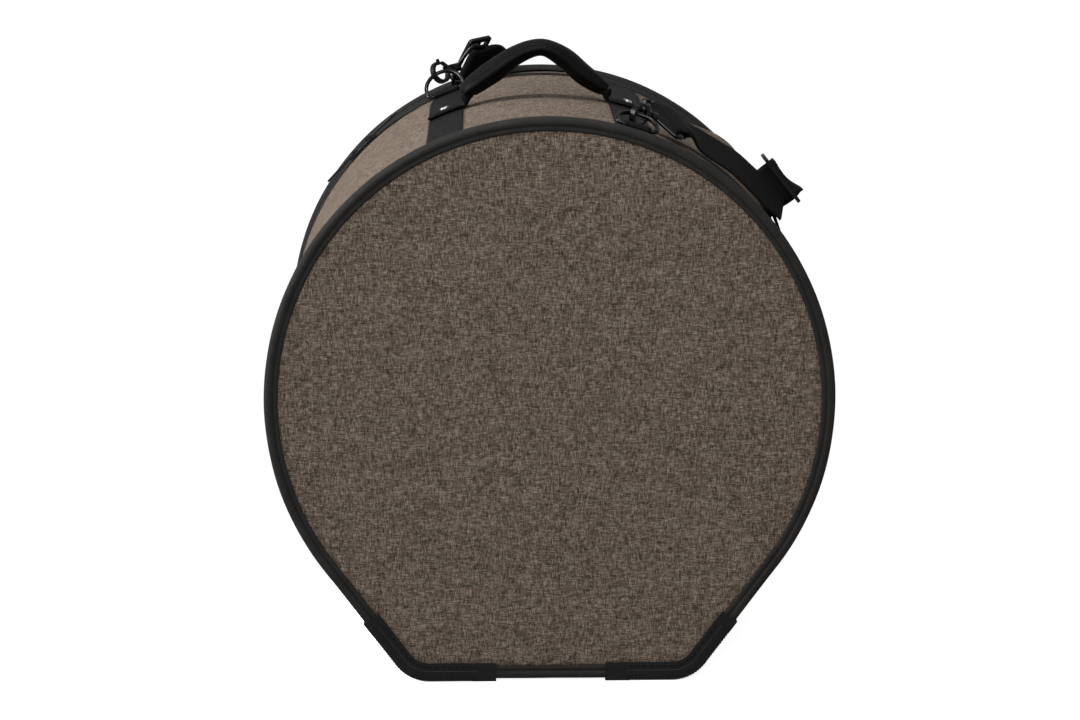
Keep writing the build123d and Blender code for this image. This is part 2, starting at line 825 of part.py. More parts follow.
def unit(shares):
    """A direction of length one."""
    return Vector(*shares).normalized()


def square_to(across, along):
    """The part of across that is square to along, at length one."""
    return (across - along * across.dot(along)).normalized()


front_ring_place = ring_plane(top_angle + patch_spread, front_ring_y, front_ring_tilt)
rear_ring_place = ring_plane(top_angle - patch_spread, rear_ring_y, rear_ring_tilt)
hook_sets = (
    ("front", front_ring_place, (0.6, 0.775, -0.2), (-0.25, 0.85, 0.46), (0.72, 0.56, -0.41)),
    ("rear", rear_ring_place, (0.663, 0.737, 0.129), (-0.45, 0.35, -0.75), (0.66, 0.75, 0.0)),
)
bars = {}
for name, ring_place, pull_shares, bar_shares, run_shares in hook_sets:
    save(build_ring(ring_place), "ring_" + name)
    reach = ring_arm + ring_width / 2
    apex = ring_place.from_local_coords((0, reach, 0))
    pull = unit(pull_shares)
    place = Plane(origin=apex, x_dir=pull, z_dir=square_to(ring_place.x_dir, pull))
    save(build_hook(place), "hook_" + name)
    save(build_gate(place), "hook_gate_" + name)
    bar_across = square_to(unit(bar_shares), pull)
    save(build_swivel(place, bar_across), "hook_swivel_" + name)
    bar_centre = place.from_local_coords((loop_bar, 0, 0))
    along = square_to(unit(run_shares), bar_across)
    save(build_wrap(bar_centre, bar_across, along), "strap_wrap_" + name)
    bars[name] = (bar_centre, bar_across, along)

save(build_keeper(top_angle + patch_spread, front_ring_y, front_tail), "ring_keeper_front")
save(build_keeper(top_angle - patch_spread, rear_ring_y, rear_tail), "ring_keeper_rear")

# The shoulder strap's webbing, from the front hook over the right shoulder, behind the lid and to the rear hook
front_run_shares = [
    (34.1, 1.0330, -0.2790, 26, 2),
    (43.1, 1.0370, -0.2270, 29, 1),
    (49.5, 1.0430, -0.1860, 30, 1),
    (54.0, 1.0510, -0.1578, 28, 1),
]
side_run_shares = [
    (51.5, 1.0297, -0.1138),
    (51.5, 1.0932, -0.1138),
    (51.5, 1.1440, -0.1120),
    (51.5, 1.1716, -0.0890),
    (52.0, 1.1568, -0.0440),
    (56.0, 1.0848, 0.0890),
    (62.0, 1.0466, 0.2220),
    (66.0, 1.0403, 0.3330),
    (66.5, 1.0403, 0.4050),
    (66.5, 1.0297, 0.4700),
    (66.5, 1.0276, 0.5060),
]
rear_run_places = [
    (rear_reach_near, (-0.66, 0.52, -0.58)),
    (rear_reach_far, (-0.74, 0.60, -0.25)),
]
back_run_shares = [
    (67.3, 1.0200, 0.5100),
    (45.4, 0.8930, 0.5100),
    (17.3, 0.8560, 0.5100),
    (-8.0, 0.9850, 0.5100),
]
back_across_shares = (0.5, 0, 0.8)
doubled = 2 * strap_thick + layer_gap
folded = 2 * (wire / 2 + running_gap + strap_thick)


def leaving(name, taper):
    """The first two places of a run, where the two legs of the wrap come together."""
    bar_centre, bar_across, along = bars[name]
    return [
        (bar_centre + along * (wrap_leg + seam_gap / 2), bar_across, folded),
        (bar_centre + along * (wrap_leg + taper), bar_across, doubled),
    ]


with BuildPart() as front_run:
    stations = leaving("front", wrap_taper)
    for angle, radius_share, depth_share, lean, layers in front_run_shares:
        tilt = radians(lean)
        across = drum_across(angle, (0, cos(tilt), sin(tilt)))
        stations.append((drum_place(angle, radius_share, depth_share), across, layers * strap_thick))
    ribbon(stations, strap_width)
save(front_run, "strap_front_run")

with BuildPart() as side_strap:
    stations = []
    for angle, radius_share, depth_share in side_run_shares:
        place = drum_place(angle, radius_share, depth_share)
        stations.append((place, drum_across(angle, (1, 0, 0)), strap_thick))
    ribbon(stations, strap_width)
save(side_strap, "strap_side_run")

with BuildPart() as rear_run:
    stations = leaving("rear", rear_taper)
    for reach, shares in rear_run_places:
        place = bars["rear"][0] + bars["rear"][2] * reach + Vector(0, rear_drift, 0)
        stations.append((place, drum_across(rear_run_angle, shares), strap_thick))
    ribbon(stations, strap_width)
save(rear_run, "strap_rear_run")

with BuildPart() as back_run:
    stations = []
    for angle, radius_share, depth_share in back_run_shares:
        place = drum_place(angle, radius_share, depth_share)
        stations.append((place, unit(back_across_shares), strap_thick))
    ribbon(stations, strap_width)
save(back_run, "strap_back_run")


def build_glide(place):
    """A tri-glide: a flat frame with a middle bar and two slots for the webbing."""
    with BuildPart() as glide:
        with BuildSketch(place):
            RectangleRounded(glide_long, glide_wide, glide_round)
            for side in (-1, 1):
                with Locations((0, side * glide_slot_middle)):
                    Rectangle(strap_width + glide_spare, glide_slot, mode=Mode.SUBTRACT)
        extrude(amount=glide_thick)
    return glide


glide_y = side_run_shares[0][2] * bag_depth + glide_slot_middle - glide_pass
save(build_glide(on_drum(glide_angle, glide_y, rim_radius + glide_lift)), "strap_glide_front")
rear_start, rear_across, rear_along = bars["rear"]
rear_face = rear_along.cross(rear_across)
rear_face = rear_face if rear_face.Z > 0 else rear_face * -1
glide_seat = rear_start + rear_along * (wrap_leg / 2) + rear_face * (folded / 2 + patch_gap)
save(build_glide(Plane(origin=glide_seat, x_dir=rear_across, z_dir=rear_face)), "strap_glide_rear")
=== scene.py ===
# %% [markdown]
# # A padded bag for a floor tom
# This file dresses a plain working model of the bag: a round drum of melange cloth on a flat base, with bound
# rims, a zipped lid at the back, a carry handle and a shoulder strap. The plain model says where everything is
# and what moves. Each step below adds one kind of piece, or one finish, and says why it is made that way.

# %% Load the plain model
import json
import math

import bmesh
import bpy
import numpy as np
from mathutils import Matrix, Vector

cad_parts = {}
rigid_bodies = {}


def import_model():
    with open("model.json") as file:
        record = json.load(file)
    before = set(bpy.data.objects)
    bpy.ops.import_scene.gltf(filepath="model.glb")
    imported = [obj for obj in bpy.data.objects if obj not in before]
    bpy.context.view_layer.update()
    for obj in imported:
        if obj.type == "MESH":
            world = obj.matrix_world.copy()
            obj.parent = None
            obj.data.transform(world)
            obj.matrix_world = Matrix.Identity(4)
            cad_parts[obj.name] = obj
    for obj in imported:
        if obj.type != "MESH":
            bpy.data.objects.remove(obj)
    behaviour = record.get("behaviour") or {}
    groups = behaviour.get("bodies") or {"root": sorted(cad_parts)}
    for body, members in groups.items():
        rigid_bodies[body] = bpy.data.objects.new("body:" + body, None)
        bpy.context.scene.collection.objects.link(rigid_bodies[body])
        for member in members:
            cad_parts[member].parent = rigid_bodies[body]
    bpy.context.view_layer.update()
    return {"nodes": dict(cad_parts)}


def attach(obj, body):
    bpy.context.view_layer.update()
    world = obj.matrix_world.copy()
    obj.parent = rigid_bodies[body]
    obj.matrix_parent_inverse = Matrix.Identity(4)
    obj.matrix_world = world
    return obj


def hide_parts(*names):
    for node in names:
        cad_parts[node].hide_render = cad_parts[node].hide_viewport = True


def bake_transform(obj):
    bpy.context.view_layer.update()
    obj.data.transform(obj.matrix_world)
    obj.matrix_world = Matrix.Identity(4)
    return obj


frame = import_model()
print("parts in the plain model:", len(frame["nodes"]))

# %% [markdown]
# The camera stands three metres in front of the bag and a quarter of a metre above its top, and looks down by
# ten degrees through a long lens. A long lens keeps the round face round. It could be aimed with a constraint;
# a matrix built from its own three axes keeps the angles in one place and needs nothing live.

# %% Camera
camera_place = Vector((-0.0508, -3.0093, 0.7834))
look_down = math.radians(10.397)
look_right = math.radians(0.878)
roll = math.radians(-0.176)


def placed(name, data):
    """A new object in the scene, made of its data."""
    made = bpy.data.objects.new(name, data)
    bpy.context.scene.collection.objects.link(made)
    return made


ahead = math.cos(look_down)
forward = Vector((math.sin(look_right) * ahead, math.cos(look_right) * ahead, -math.sin(look_down)))
level = Vector((math.cos(look_right), -math.sin(look_right), 0))
upright = level.cross(forward)
camera_x = level * math.cos(roll) + upright * math.sin(roll)
camera_y = upright * math.cos(roll) - level * math.sin(roll)

camera_data = bpy.data.cameras.new("camera")
camera_data.sensor_width = 36
camera_data.lens = 114.87
camera = placed("camera", camera_data)
camera_turn = Matrix((camera_x, camera_y, -forward)).transposed().to_4x4()
camera.matrix_world = Matrix.Translation(camera_place) @ camera_turn
bpy.context.scene.camera = camera
print("camera at", tuple(round(v, 3) for v in camera_place))

# %% [markdown]
# In the picture the bag stands alone on pure white, lit by a small soft box overhead, a larger one at the left
# and a wide one in front. A lit white wall would also give a white picture, but it would shine in every black
# part and turn it grey. So the world shows plain white to the camera and gives only a dim, even light, and the
# soft boxes do the rest. The one overhead is small enough that the handle throws a soft shadow on the drum.

# %% Light
world = bpy.data.worlds.new("white_backdrop")
world.use_nodes = True
backdrop = world.node_tree
seen = backdrop.nodes["Background"]
dim = backdrop.nodes.new("ShaderNodeBackground")
for light, colour, strength in ((seen, (1, 1, 1, 1), 1.05), (dim, (1, 0.995, 0.985, 1), 0.3)):
    light.inputs["Color"].default_value = colour
    light.inputs["Strength"].default_value = strength
camera_ray = backdrop.nodes.new("ShaderNodeLightPath").outputs["Is Camera Ray"]
either = backdrop.nodes.new("ShaderNodeMixShader")
for socket, source in zip(either.inputs, (camera_ray, dim.outputs[0], seen.outputs[0])):
    backdrop.links.new(source, socket)
backdrop.links.new(either.outputs[0], backdrop.nodes["World Output"].inputs["Surface"])
bpy.context.scene.world = world
bpy.context.scene.view_settings.view_transform = "Standard"


def soft_box(name, place, target, width, height, power):
    """A rectangular soft light at a place, turned towards a target."""
    data = bpy.data.lights.new(name, "AREA")
    data.shape = "RECTANGLE"
    data.size, data.size_y, data.energy = width, height, power
    light = placed(name, data)
    light.location = place
    light.rotation_euler = (Vector(target) - Vector(place)).to_track_quat("-Z", "Y").to_euler()


soft_box("overhead_box", (0.0, -0.12, 2.4), (0, 0, 0.3), 0.5, 0.45, 19)
soft_box("left_box", (-2.2, -0.25, 1.3), (-0.15, 0, 0.35), 0.9, 0.9, 72)
soft_box("front_box", (-0.25, -3.7, 2.5), (0, 0, 0.3), 2.6, 1.8, 112)
print("lights:", len(bpy.data.lights))

# %% [markdown]
# Shader maths reads best as ordinary sums. The first small class wraps one socket, and its operators add Math
# nodes, so that a weave can be written as a formula. The second makes every node of a tree, and the third
# makes one material.

# %% Sockets that take part in sums


class Wire:
    """A value in a tree of nodes that can be added, multiplied and compared like a number."""

    def __init__(self, owner, socket):
        self.owner = owner
        self.socket = socket

    def maths(self, operation, *others):
        return self.owner.node("ShaderNodeMath", {"operation": operation}, dict(enumerate((self, *others))))

    def __add__(self, other):
        return self.maths("ADD", other)

    def __sub__(self, other):
        return self.maths("SUBTRACT", other)

    def __mul__(self, other):
        return self.maths("MULTIPLY", other)

    def __truediv__(self, other):
        return self.maths("DIVIDE", other)

    __radd__ = __add__
    __rmul__ = __mul__

    def __rsub__(self, other):
        return self.owner.node("ShaderNodeMath", {"operation": "SUBTRACT"}, {0: other, 1: self})

    def floor(self):
        return self.maths("FLOOR")

    def part(self):
        return self.maths("FRACT")

    def ribs(self):
        """A row of rounded ribs, one to each whole number."""
        return (self * math.pi).maths("SINE").maths("ABSOLUTE")

    def over(self, limit):
        return self.maths("GREATER_THAN", limit)

    def between(self, low, high):
        """0 below low, 1 above high, and a smooth step from one to the other."""
        settings = {"interpolation_type": "SMOOTHSTEP"}
        return self.owner.node("ShaderNodeMapRange", settings, {"Value": self, "From Min": low, "From Max": high})


class Nodes:
    """A tree of nodes, all made by one method."""

    def __init__(self, tree):
        self.tree = tree

    def node(self, kind, settings=None, sockets=None, out=0):
        """Any node: its type, its settings, the values or links of its sockets, and the output wanted."""
        made = self.tree.nodes.new(kind)
        for key, value in (settings or {}).items():
            setattr(made, key, value)
        for key, value in (sockets or {}).items():
            for given in value if isinstance(value, list) else [value]:
                if isinstance(given, Wire):
                    self.tree.links.new(given.socket, made.inputs[key])
                else:
                    made.inputs[key].default_value = given
        return Wire(self, made.outputs[out])

    def joined(self, x, y, z=0):
        return self.node("ShaderNodeCombineXYZ", None, {0: x, 1: y, 2: z})


class Finish(Nodes):
    """One material: a Principled shader and the nodes that feed it."""

    def __init__(self, name, roughness=0.6, **constants):
        self.material = bpy.data.materials.new(name)
        self.material.use_nodes = True
        super().__init__(self.material.node_tree)
        self.shader = self.tree.nodes["Principled BSDF"]
        self.shader.inputs["Roughness"].default_value = roughness
        for socket, value in constants.items():
            self.shader.inputs[socket.replace("_", " ")].default_value = value

    def feed(self, socket, value):
        """Links a value to one of the shader's own sockets."""
        self.tree.links.new(value.socket, self.shader.inputs[socket])

    def weave_place(self):
        """Where a point is on its flat cloth, in metres."""
        across = self.node("ShaderNodeSeparateXYZ", None, {0: self.node("ShaderNodeUVMap", {"uv_map": "flat"})})
        return across, Wire(self, across.socket.node.outputs[1])

    def place(self):
        """Where a point is on the object, in metres."""
        return self.node("ShaderNodeTexCoord", None, None, "Object")

    def noise(self, vector, scale, detail=2, roughness=0.5):
        sockets = {"Vector": vector, "Scale": scale, "Detail": detail, "Roughness": roughness}
        return self.node("ShaderNodeTexNoise", None, sockets, "Fac")

    def ramp(self, value, stops):
        """The colour of a value; stops are places from 0 to 1 and their colours."""
        colour = self.node("ShaderNodeValToRGB", None, {0: value})
        elements = colour.socket.node.color_ramp.elements
        while len(elements) < len(stops):
            elements.new(1)
        for element, (place, shade) in zip(elements, stops):
            element.position = place
            element.color = (*shade, 1)
        return colour

    def shaded(self, value, colour, places, dark, light):
        """Feeds the base colour: the colour made darker, as it is, and made lighter at three places of a value."""
        shades = [tuple(c * share for c in colour) for share in (dark, 1, light)]
        self.feed("Base Color", self.ramp(value, list(zip(places, shades))))

    def bump(self, height, distance, strength=1):
        """Feeds the shader's normal from a height."""
        sockets = {"Height": height, "Distance": distance, "Strength": strength}
        self.feed("Normal", self.node("ShaderNodeBump", None, sockets))


# %% [markdown]
# The bag stands on a plain white floor that glows faintly, like a lit table, so it stays white and shows only
# a breath of shadow under the bag. It is seen by the camera alone, so it adds no shine to the black parts. It
# ends under the back of the bag, as a table does, because the open lid hangs down past it.

# %% Floor
floor_half = 30
floor_edge = 0.13
floor_height = -0.0005
glow = {"Emission_Color": (1, 1, 1, 1), "Emission_Strength": 0.84}
floor_finish = Finish("pale_floor", 1, Base_Color=(0.9, 0.9, 0.9, 1), Specular_IOR_Level=0, **glow)
floor_mesh = bpy.data.meshes.new("floor")
floor_spans = [(x, y) for y in (-floor_half, floor_edge) for x in (-floor_half, floor_half)]
floor_mesh.from_pydata([(x, y, floor_height) for x, y in floor_spans], [], [(0, 1, 3, 2)])
floor_mesh.materials.append(floor_finish.material)
floor = placed("floor", floor_mesh)
floor.visible_diffuse = floor.visible_glossy = floor.visible_shadow = False
print("floor half width, m:", floor_half)

# %% [markdown]
# The bag's cloth is a plain weave of mixed yarns: each thread is spun from brown, tan and grey fibres, so its
# shade drifts along its length, and thicker slubs show as short light or dark strokes in both directions.
# A picture of cloth could be laid over it, but a formula keeps its scale on every piece: count the threads
# both ways, give each thread its own drifting shade, and let the two sets take turns on top.

# %% Melange cloth
yarn_pitch = 0.0008
streak = 0.11
contrast = 2.9
speckle = 0.34
cloth_shades = (
    (0.1, (0.026, 0.026 * 0.78, 0.026 * 0.62)),
    (0.38, (0.071, 0.0535, 0.041)),
    (0.62, (0.132, 0.102, 0.0805)),
    (1.0, (0.25, 0.205, 0.168)),
)


def melange(name, lightness):
    """Plain-woven cloth of mixed brown and grey yarns; on_top is 1 where a lengthwise thread lies on top."""
    cloth = Finish(name, 0.9, Specular_IOR_Level=0.12)
    across, along = cloth.weave_place()
    wander = cloth.noise(cloth.joined(across, along), 25, 1) * 0.3
    u = across / yarn_pitch + wander
    v = along / yarn_pitch + wander
    weft = cloth.noise(cloth.joined(u * streak, v.floor() * 7.31, 2.0), 1, 2, 0.6)
    warp = cloth.noise(cloth.joined(u.floor() * 5.17, v * streak, 9.0), 1, 2, 0.6)
    on_top = ((u.floor() + v.floor()) * 0.5).part().over(0.25)
    speck = cloth.node("ShaderNodeTexWhiteNoise", None, {"Vector": cloth.joined(u.floor(), v.floor())}, "Value")
    shade = (weft + warp) * 0.5 + (on_top - 0.5) * (warp - weft) * 0.5
    patch = cloth.noise(cloth.joined(across, along), 14, 3)
    group = cloth.noise(cloth.joined(u * 0.004, v * 0.06, 4.0), 1, 2)
    drift = (patch - 0.5) * 0.04 + (group - 0.5) * 0.07
    value = (shade - 0.5) * contrast + (speck - 0.5) * speckle + (on_top - 0.5) * 0.12 + drift + 0.5
    colour = cloth.ramp(value, [(at, tuple(c * lightness for c in yarn)) for at, yarn in cloth_shades])
    warm = cloth.noise(cloth.joined(u * 0.02, v * streak, 5.0), 1, 3)
    tint = cloth.ramp(warm, [(0.3, (0.965, 1.0, 0.99)), (0.7, (1.035, 0.99, 0.975))])
    settings = {"data_type": "RGBA", "blend_type": "MULTIPLY"}
    cloth.feed("Base Color", cloth.node("ShaderNodeMix", settings, {0: 1.0, 6: colour, 7: tint}, 2))
    ridge = u.ribs() * (1 - on_top) + v.ribs() * on_top
    cloth.bump(ridge + shade * 0.8, 0.00014, 0.7)
    return cloth.material


cover_finish = melange("melange_cloth", 1.16)
print("thread pitch of the cloth, mm:", yarn_pitch * 1000)

# %% [markdown]
# Everything dark on the bag is a different black: ribbed binding tape, grained patches, the smoother leather
# of the handle, tight webbing, moulded rubber and plated metal. They are told apart by how they shine and by
# the size of their grain, so each gets its own small formula.

# %% Tapes and webbing
webbing_pick = 0.0011
webbing_row = 0.0023


def ribbed_tape(name, colour, pitch, depth, shine=0.7):
    """A dense tape with fine ribs across it and a soft drift of shade along it."""
    tape = Finish(name, shine, Specular_IOR_Level=0.16)
    across, along = tape.weave_place()
    u = across / pitch
    v = along / pitch
    twill = (u + v).ribs()
    wear = tape.noise(tape.joined(across, along), 45, 4, 0.6)
    fleck = tape.noise(tape.joined(u * 0.5, v * 0.5), 1, 2)
    tape.shaded(wear * 0.55 + twill * 0.25 + fleck * 0.3, colour, (0.25, 0.55, 0.9), 0.4, 2.0)
    tape.feed("Roughness", 0.12 * wear + (shine - 0.06))
    tape.bump(twill + wear * 1.5, depth, 0.8)
    return tape.material


def webbing(name, colour):
    """Woven nylon: fine picks across the band in two staggered rows of ribs."""
    band = Finish(name, 0.66, Specular_IOR_Level=0.1)
    along, across = band.weave_place()
    u = along / webbing_pick
    v = across / webbing_row
    pick = (u + v.floor() * 0.5).ribs()
    cord = v.ribs()
    fuzz = band.noise(band.joined(u, v), 0.7, 3)
    band.shaded(pick * 0.4 + cord * 0.3 + fuzz * 0.35, colour, (0.2, 0.6, 1.0), 0.4, 2.1)
    band.bump(pick * 0.7 + cord * 0.9 + fuzz * 0.2, 0.0003, 0.9)
    return band.material


binding_finish = ribbed_tape("binding_tape", (0.015, 0.0143, 0.0136), 0.0015, 0.00026)
facing_finish = ribbed_tape("facing_tape", (0.0085, 0.0082, 0.0078), 0.0009, 0.00012)
zip_tape_finish = ribbed_tape("zip_tape", (0.006, 0.006, 0.006), 0.0008, 0.00012, 0.75)
lining_finish = ribbed_tape("lining_cloth", (0.016, 0.016, 0.017), 0.0006, 0.00008, 0.55)
webbing_finish = webbing("webbing", (0.0032, 0.0031, 0.003))
print("tapes made")

# %% [markdown]
# Imitation leather is a film pressed with a grain of small cells and creases. A Voronoi pattern gives the
# cells, and a finer noise breaks them up. The patches have a coarse dry grain, the handle a finer one.

# %% Imitation leather and moulded parts


def leather(name, colour, cell, depth, shine):
    """Grained imitation leather."""
    hide = Finish(name, shine, Specular_IOR_Level=0.08)
    place = hide.place()
    sockets = {"Vector": place, "Scale": 1 / cell, "Randomness": 1.0}
    cells = hide.node("ShaderNodeTexVoronoi", {"feature": "DISTANCE_TO_EDGE"}, sockets, "Distance")
    crease = cells.between(0.0, 0.16)
    cloud = hide.noise(place, 30, 4, 0.6)
    fine = hide.noise(place, 900, 2)
    hide.shaded(crease * 0.3 + cloud * 0.7, colour, (0.3, 0.6, 0.95), 0.6, 1.5)
    hide.feed("Roughness", cloud * 0.2 + (shine - 0.1) - crease * 0.05)
    hide.bump(crease + fine * 0.4, depth, 0.8)
    return hide.material


def moulded(name, colour, shine, grain):
    """Moulded rubber or nylon with a fine eroded texture."""
    part = Finish(name, shine, Specular_IOR_Level=0.2)
    place = part.place()
    erosion = part.noise(place, 1600, 3)
    cloud = part.noise(place, 25, 3)
    part.shaded(cloud * 0.7 + erosion * 0.3, colour, (0.3, 0.5, 0.8), 0.7, 1.35)
    part.feed("Roughness", cloud * 0.2 + (shine - 0.1))
    part.bump(erosion, grain, 0.6)
    return part.material


def plated(name, colour, shine):
    """Plated metal, with faint clouds and fine rubbing marks."""
    metal = Finish(name, shine, Metallic=1.0)
    place = metal.place()
    cloud = metal.noise(place, 120, 4)
    drawn = metal.node("ShaderNodeVectorMath", {"operation": "MULTIPLY"}, {0: place, 1: (1, 9, 1)})
    rub = metal.noise(drawn, 900, 2)
    light = tuple(min(1, c * 1.3) for c in colour)
    metal.feed("Base Color", metal.ramp(cloud, [(0.35, colour), (0.75, light)]))
    metal.feed("Roughness", cloud * 0.18 + rub * 0.1 + (shine - 0.12))
    metal.bump(rub, 0.00002, 0.3)
    return metal.material


patch_finish = leather("patch_leather", (0.005, 0.005, 0.0051), 0.0011, 0.00012, 0.58)
handle_finish = leather("handle_leather", (0.0024, 0.0024, 0.0023), 0.0008, 0.0001, 0.5)
rubber_finish = moulded("guard_rubber", (0.0072, 0.0072, 0.007), 0.6, 0.00006)
nylon_finish = moulded("glide_nylon", (0.0045, 0.0045, 0.0045), 0.4, 0.00003)
teeth_finish = moulded("coil_nylon", (0.007, 0.007, 0.0072), 0.35, 0.00002)
core_finish = moulded("grip_core", (0.3, 0.3, 0.3), 0.6, 0.00005)
thread_finish = moulded("sewing_thread", (0.009, 0.0087, 0.0083), 0.6, 0.00008)
# Near black and matt: part thread, part painted shade in the holes where the stitches sink into the rubber.
sunk_thread_painted_shade_finish = moulded("sunk_thread", (0.001, 0.001, 0.001), 0.95, 0.00002)
# Lighter than the guard's own rubber: a painted highlight along the raised bead.
bead_painted_highlight_finish = moulded("guard_bead", (0.028, 0.028, 0.028), 0.45, 0.00004)
dark_metal_finish = plated("black_nickel", (0.026, 0.026, 0.027), 0.3)
bright_metal_finish = plated("bright_nickel", (0.62, 0.62, 0.63), 0.3)
print("finishes:", len(bpy.data.materials))

# %% [markdown]
# Every layer of the bag follows one outline: a circle, two leaning sides and a flat base with rounded
# corners. The outline is walked once, at the rim, and a layer is the same walk moved in or out along the
# normal. That way rims, cloth, zip and stitches stay parallel, as they do on the sewn bag.

# %% The outline
rim = 0.236
middle_z = 0.237
lean = math.radians(36.87)
corner = 0.034


def closed(rows):
    """The same rows with the first one again at the end."""
    return np.concatenate((rows, rows[:1]))


def run_lengths(points):
    """How far each point is along its row of points."""
    return np.concatenate(([0], np.cumsum(np.linalg.norm(np.diff(points, axis=0), axis=1))))


def walk_outline(spacing=0.003):
    """Places, outward directions and distances round the rim, from the middle of the base to the right."""
    corner_x = rim * math.tan((math.pi / 2 - lean) / 2)
    tangent = corner * math.tan((math.pi / 2 - lean) / 2)
    low = middle_z - rim
    side_foot = Vector((corner_x + tangent * math.sin(lean), low + tangent * math.cos(lean)))
    side_top = Vector((rim * math.cos(lean), middle_z - rim * math.sin(lean)))
    down = -math.pi / 2
    right_half = [
        ("line", Vector((0, low)), Vector((corner_x - tangent, low))),
        ("arc", Vector((corner_x - tangent, low + corner)), corner, down, -lean),
        ("line", side_foot, side_top),
        ("arc", Vector((0, middle_z)), rim, -lean, math.pi / 2),
    ]
    places, outs = [], []
    for piece in right_half:
        if piece[0] == "line":
            start, end = piece[1], piece[2]
            count = max(2, round((end - start).length / spacing))
            along = (end - start).normalized()
            for step in range(count):
                places.append(start.lerp(end, step / count))
                outs.append(Vector((along.y, -along.x)))
        else:
            centre, radius, first, last = piece[1:]
            count = max(8, round(radius * (last - first) / spacing))
            for step in range(count):
                angle = first + (last - first) * step / count
                out = Vector((math.cos(angle), math.sin(angle)))
                places.append(centre + out * radius)
                outs.append(out)
    places.append(Vector((0, middle_z + rim)))
    outs.append(Vector((0, 1)))
    left = [(Vector((-p.x, p.y)), Vector((-o.x, o.y))) for p, o in zip(places, outs)][1:-1]
    for p, o in reversed(left):
        places.append(p)
        outs.append(o)
    places = np.array(places)
    return places, np.array(outs), run_lengths(closed(places))


rim_places, rim_outs, rim_run = walk_outline()
round_count = len(rim_places)
print("points round the rim:", round_count, "length, m:", round(rim_run[-1], 3))


def on_outline(lift, depth, rows=slice(None)):
    """Points a lift outside the rim's outline at a depth, one row for each of its places."""
    x, z = (rim_places[rows, k, None] + lift * rim_outs[rows, k, None] for k in (0, 1))
    return np.stack(np.broadcast_arrays(x, depth, z), axis=2)


def top_angle(run):
    """The angle from the top, clockwise in radians, of a place round the rim."""
    return (rim_run[-1] / 2 - run) / rim


# %% [markdown]
# Most pieces are grids of points: rows that go round or along, columns that go across. One helper turns a
# grid into a mesh with its flat cloth coordinates, closes its seams and poles, and makes its faces point out.

# %% Grids into pieces


def piece_from_grid(name, points, flat_u, flat_v, finish, close_rows=False, close_columns=False):
    """A mesh from a grid of points; flat_u and flat_v give each point's place on the flat cloth, in metres."""
    rows, columns = points.shape[:2]
    faces, loops_u, loops_v = [], [], []
    row_end = rows if close_rows else rows - 1
    column_end = columns if close_columns else columns - 1
    for i in range(row_end):
        ahead = (i + 1) % rows
        for j in range(column_end):
            beside = (j + 1) % columns
            faces.append((i * columns + j, ahead * columns + j, ahead * columns + beside, i * columns + beside))
            for a, b in ((i, j), (i + 1, j), (i + 1, j + 1), (i, j + 1)):
                loops_u.append(flat_u[a, b])
                loops_v.append(flat_v[a, b])
    mesh = bpy.data.meshes.new(name)
    mesh.from_pydata(points.reshape(-1, 3).tolist(), [], faces)
    layer = mesh.uv_layers.new(name="flat")
    layer.data.foreach_set("uv", np.stack((loops_u, loops_v), axis=1).ravel().astype(np.float32))
    return finished(name, mesh, finish)


def finished(name, mesh, finish):
    """Merges the mesh's doubled points, turns its faces outwards and makes it an object."""
    work = bmesh.new()
    work.from_mesh(mesh)
    bmesh.ops.remove_doubles(work, verts=work.verts, dist=1e-6)
    bmesh.ops.dissolve_degenerate(work, edges=work.edges, dist=1e-7)
    bmesh.ops.recalc_face_normals(work, faces=work.faces)
    for face in work.faces:
        face.smooth = True
    work.to_mesh(mesh)
    work.free()
    mesh.materials.clear()
    mesh.materials.append(finish)
    return placed(name, mesh)


def tube(name, points, runs, across, finish, ring=False):
    """A piece whose rows are closed loops; runs and across place its rows and columns on the flat cloth."""
    return piece_from_grid(name, points, *np.meshgrid(runs, across, indexing="ij"), finish, ring, True)


def capped(points, runs):
    """Rows of points with both ends drawn together in their middle, and their places to match."""
    ends = [row.mean(axis=1, keepdims=True).repeat(points.shape[1], axis=1) for row in (points[:1], points[-1:])]
    return np.concatenate((ends[0], points, ends[1])), np.pad(runs, 1, mode="edge")


def settle(piece, body, slot, *nodes, padding=None):
    """Puts a piece on its body and hides the plain parts it stands for."""
    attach(piece, body)
    if nodes:
        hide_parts(*nodes)
    return piece


def waves(a, b, seed, size, layers=4):
    """A gentle, repeatable unevenness over two coordinates, from a few crossing waves."""
    chance = np.random.default_rng(seed)
    total = 0
    for layer in range(layers):
        turn = chance.uniform(0, 2 * math.pi)
        length = size * chance.uniform(0.6, 1.6)
        shift = chance.uniform(0, 2 * math.pi)
        total = total + np.sin((a * math.cos(turn) + b * math.sin(turn)) * 2 * math.pi / length + shift)
    return total / layers


def ring_piece(name, profile, finish, swell=None):
    """A closed piece with one section all round the outline; profile is a loop of depth and radius in mm."""
    profile = np.array(profile) / 1000
    depth, radius = (np.repeat(profile[None, :, k], round_count, axis=0) for k in (0, 1))
    if swell is not None:
        radius = radius + swell(rim_run[:-1, None], depth, radius)
    return tube(name, on_outline(radius - rim, depth), rim_run, run_lengths(closed(profile)), finish, True)


# %% [markdown]
# The wall of the drum is cloth over foam: one padded shell from the front rim to the zip. It could be a bare
# tube, but real cloth over foam is never quite even, so its outer side gets slow shallow waves, kept out of
# the way of the patches and of the zip's tape, and a bulge at the right shoulder. The hem at the zip is turned
# under, and its topstitching pulls in a narrow channel.

# %% Drum wall
cover_radius = 231.5
foam_inside = 222.3
wall_front = -214.8
wall_rear = 161
hem_turn = 10.4
hem_stitch = 157.2
patch_angles = (math.radians(-21.7), math.radians(17.7))
bulge_angle = 0.80
bulge_height = 0.011
cloth_wave = 0.0007


def near_patch(run):
    """How far a place round the rim is from the leather patches, as 0 on a patch and 1 well away from it."""
    angle = top_angle(run)
    gap = np.minimum(np.abs(angle - patch_angles[0]), np.abs(angle - patch_angles[1]))
    return np.clip((gap * rim - 0.017) / 0.03, 0, 1)


